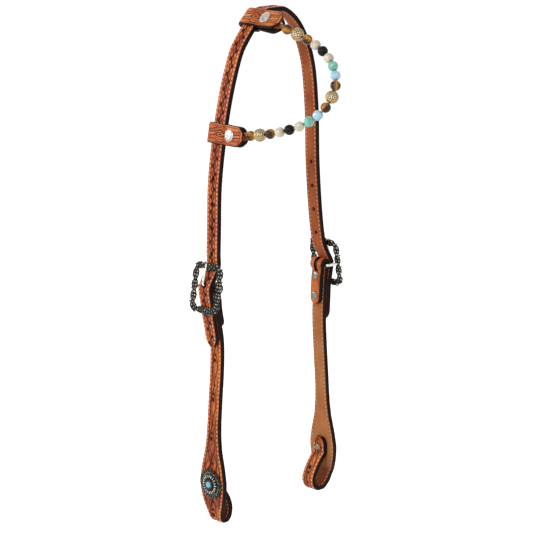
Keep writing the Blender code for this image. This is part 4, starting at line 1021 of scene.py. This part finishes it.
earRoute = [(-17.5, -39.3, -9.3), (-13.9, -50.5, -13.9), (-9.6, -65.7, -19.7), (-8.1, -82.0, -27.9), (-10.8, -97.8, -39.2),
            (-18.1, -108.5, -56.7), (-29.6, -107.7, -74.7), (-42.5, -93.0, -90.1), (-52.7, -71.4, -98.8),
            (-58.1, -50.7, -103.5), (-60.0, -35.2, -106.2)]
beadSize = {"plain": 9.8, "gold": 12.3, "gap": 0.3, "kinds": "tiger gold tiger pearl black pearl mint sky tiger gold tiger "
            "sky mint pearl black pearl tiger gold tigerDark".split()}


def beadFinishes():
    made = {}
    for kind, shift in (("tiger", 0.0), ("tigerDark", 0.35)):
        m = Finish(kind + "Eye", Roughness=0.16, Specular_IOR_Level=0.2, Coat_Weight=0.2, Coat_Roughness=0.04)
        u = m.map("bead", 0)
        sway = m.noise(110.0, 2.0)
        stripes = ((u * 3.4 + sway * 3.0 + shift * 3).sine() * 0.5 + 0.5)
        fine = ((u * 46.0 + sway * 16.0).sine() * 0.5 + 0.5)
        colour = m.mix(stripes.band(0.3, 0.7), tone(24, 11, 6), tone(168, 98, 14))
        colour = m.mix(fine * 0.35, colour, tone(92, 50, 12))
        colour = m.mix(stripes.band(0.86, 1.0), colour, tone(206, 142, 34))
        made[kind] = m.wear(Base_Color=colour)
    m = Finish("antiqueGold", Metallic=1.0)
    relief = m.map("carve", 0)
    wear = m.noise(500.0, 3.0)
    shine = (relief + wear * 0.3 - 0.15).band(0.3, 0.8)
    made["gold"] = m.wear(Base_Color=m.mix(shine, tone(66, 50, 30), tone(206, 184, 140)), Roughness=0.46 - shine * 0.2,
                          Normal=m.bump(wear, 0.2, 0.0001))
    m = Finish("creamPearl", Coat_Weight=0.6, Coat_Roughness=0.05, Roughness=0.34)
    made["pearl"] = m.wear(Base_Color=m.mix(m.noise(160.0, 2.0).band(0.3, 0.7), tone(204, 190, 162), tone(230, 218, 196)),
                           Normal=m.bump(m.noise(500.0), 0.06, 0.0001))
    m = Finish("glossBlack", Roughness=0.06, Specular_IOR_Level=0.16)
    made["black"] = m.wear(Base_Color=m.mix(m.noise(300.0).band(0.4, 0.8), tone(5, 5, 6), tone(18, 17, 17)))
    for kind, name, light, dark, vein in (("mint", "mintStone", tone(144, 212, 192), tone(100, 184, 158), tone(78, 140, 122)),
                                          ("sky", "skyStone", tone(186, 224, 246), tone(148, 202, 236), tone(206, 222, 228))):
        m = Finish(name, Roughness=0.12, Coat_Weight=0.35, Coat_Roughness=0.04)
        colour = m.mix(m.noise(200.0, 4.0).band(0.3, 0.7), dark, light)
        veins = m.cells(190.0, feature="DISTANCE_TO_EDGE")
        made[kind] = m.wear(Base_Color=m.mix(veins.band(0.0, 0.05) , m.mix(0.5, colour, vein), colour))
    return made


def evenDirections(count):
    level = 1 - 2 * (np.arange(count) + 0.5) / count
    round = np.arange(count) * math.pi * (3 - math.sqrt(5))
    return np.column_stack([np.sqrt(1 - level ** 2) * np.cos(round), np.sqrt(1 - level ** 2) * np.sin(round), level])


def makeBeads():
    route = smoothLine(earRoute, 0.5)
    along = lengthsAlong(route)
    at = lambda length: np.array([np.interp(length, along, route[:, axis]) for axis in range(3)])
    finishes = beadFinishes()
    sizes = [beadSize["gold"] if kind == "gold" else beadSize["plain"] for kind in beadSize["kinds"]]
    start = (along[-1] - sum(sizes) - beadSize["gap"] * (len(sizes) - 1)) / 2
    rng = np.random.default_rng(5)
    for number, (kind, size) in enumerate(zip(beadSize["kinds"], sizes), start=1):
        ends = at(start), at(start + size)
        start += size + beadSize["gap"]
        centre, axis = (ends[0] + ends[1]) / 2, (ends[1] - ends[0]) / np.linalg.norm(ends[1] - ends[0])
        side = np.cross(axis, rng.normal(size=3))
        side /= np.linalg.norm(side)
        other = np.cross(axis, side)
        radius = size / 2
        rowsCount, steps = (56, 96) if kind == "gold" else (28, 48)
        first = math.asin(1.25 / radius)
        polar, turn = np.meshgrid(np.linspace(first, math.pi - first, rowsCount), 2 * np.pi * np.arange(steps) / steps, indexing="ij")
        reach = np.full_like(polar, radius)
        relief = np.ones_like(polar)
        rays = np.stack([np.sin(polar) * np.cos(turn), np.sin(polar) * np.sin(turn), np.cos(polar)], -1)
        if kind == "gold":
            away = np.arccos(np.clip(np.max(rays @ evenDirections(74).T, -1), -1, 1)) * radius
            collar = np.clip((np.abs(polar - math.pi / 2) - 1.1) / 0.12, 0, 1)
            relief = np.maximum.reduce([groove(away - 1.0, 0.42), groove(away, 0.4), collar])
            reach = radius - 0.5 * (1 - relief)
        elif kind in ("mint", "sky"):  # cut in flat facets
            reach = np.minimum(radius, radius * 0.955 / np.max(rays @ evenDirections(42).T, -1))
        elif kind != "black":
            reach = radius - 0.05 - 0.05 * np.cos(3 * turn + number) * np.sin(polar)
        outerPoints = centre + reach[..., None] * (np.sin(polar)[..., None] * (np.cos(turn)[..., None] * side + np.sin(turn)[..., None] * other)
                                                   + np.cos(polar)[..., None] * axis)
        bore = [centre + level * axis + 1.15 * (np.cos(turn[0])[:, None] * side + np.sin(turn[0])[:, None] * other)
                for level in (-radius * 0.93, radius * 0.93)]
        points = np.vstack([outerPoints.reshape(-1, 3), bore[0], bore[1]])
        rowsAll = rowsCount + 2
        local = (points - centre) / radius
        maps = {"bead": np.column_stack([local @ side, local @ axis]),
                "carve": np.column_stack([np.concatenate([relief.ravel(), np.zeros(2 * steps)]), np.zeros(rowsAll * steps)])}
        name = f"bead_{number:02d}"
        piece = meshPiece(f"bead{number:02d}{kind.title()}", points, gridFaces(rowsAll, steps, loopRows=True), [finishes[kind]], maps)
        settle(piece, name, name, name)
    cordPath = np.array([at(length) for length in np.arange(0, along[-1], 0.45)])
    cord = rod("earCord", cordPath, 0.8, wireGrey, 12, twist=lambda angle, s: 0.86 + 0.14 * abs(math.cos(1.5 * angle - 1.6 * s)))
    settle(cord, "ear_loop", "ear_cord", "ear_cord")


makeBeads()
print("headstall: beads ready")


# --- stage, lights and camera ------------------------------------------

stageSize = {"floor": -0.62, "reach": 14.0, "target": (0.0, 0.0, -0.245), "azimuth": -44.0, "elevation": 13.5,
             "distance": 2.15, "lens": 151.27}


def makeStage():
    reach, level = stageSize["reach"], stageSize["floor"]
    floor = meshPiece("floor", [(-reach, -reach, level), (reach, -reach, level), (reach, reach, level), (-reach, reach, level)],
                      [(0, 1, 2, 3)], [], smooth=False, bothMetres=True)
    m = Finish("paleFloor", Roughness=0.9)
    m.shader.inputs["Base Color"].default_value = tone(246, 246, 246)
    path = m.add("ShaderNodeLightPath")
    rays = path.socket.node.outputs
    seen = m.maths("MAXIMUM", m.maths("MAXIMUM", Wire(m, rays["Is Camera Ray"]), Wire(m, rays["Is Glossy Ray"])),
                   Wire(m, rays["Is Transmission Ray"]))
    glow = m.add("ShaderNodeEmission", {}, {"Color": (1, 1, 1, 1), "Strength": 0.7})
    both = m.add("ShaderNodeAddShader", {}, {0: Wire(m, m.shader.outputs[0]), 1: glow})
    picked = m.add("ShaderNodeMixShader", {}, {0: seen, 1: Wire(m, m.shader.outputs[0]), 2: both})
    m.tree.links.new(picked.socket, m.tree.nodes["Material Output"].inputs[0])
    floor.data.materials.append(m.material)
    world = bpy.data.worlds.new("studio")
    scene.world = world
    world.use_nodes = True
    w = Graph(world.node_tree)
    path = w.add("ShaderNodeLightPath")
    rays = path.socket.node.outputs
    seen = w.maths("MAXIMUM", w.maths("MAXIMUM", Wire(w, rays["Is Camera Ray"]), Wire(w, rays["Is Glossy Ray"])),
                   Wire(w, rays["Is Transmission Ray"]))
    background = world.node_tree.nodes["Background"]
    background.inputs[0].default_value = (1, 1, 1, 1)
    world.node_tree.links.new((seen * 0.6 + 0.4).socket, background.inputs[1])


def areaLight(name, place, size, power, aim=(0, 0, -0.22)):
    lamp = bpy.data.lights.new(name, "AREA")
    lamp.shape, lamp.size, lamp.energy = "DISK", size, power
    holder = bpy.data.objects.new(name, lamp)
    holder.location = place
    holder.rotation_euler = (Vector(aim) - Vector(place)).to_track_quat("-Z", "Y").to_euler()
    scene.collection.objects.link(holder)


def makeCamera():
    size = stageSize
    turn, lift = math.radians(size["azimuth"]), math.radians(size["elevation"])
    away = Vector((math.sin(turn) * math.cos(lift), -math.cos(turn) * math.cos(lift), math.sin(lift)))
    camera = bpy.data.objects.new("photoCamera", bpy.data.cameras.new("photoCamera"))
    camera.data.lens, camera.data.sensor_width = size["lens"], 36.0
    camera.data.clip_end = 60.0
    camera.location = Vector(size["target"]) + away * size["distance"]
    camera.rotation_euler = (-away).to_track_quat("-Z", "Y").to_euler()
    scene.collection.objects.link(camera)
    scene.camera = camera


makeStage()
areaLight("keyLight", (-1.7, -0.4, 0.75), 0.8, 13.5)
areaLight("glareLight", (-1.35, 1.3, 0.3), 0.6, 9)
areaLight("fillLight", (0.2, -1.9, 0.35), 1.2, 3)
areaLight("backLight", (0.9, 1.5, 1.0), 0.9, 6)
areaLight("glintLight", (-0.95, -2.05, 0.7), 0.12, 2.2)
makeCamera()
scene.view_settings.view_transform = "Standard"
print("headstall: stage ready")
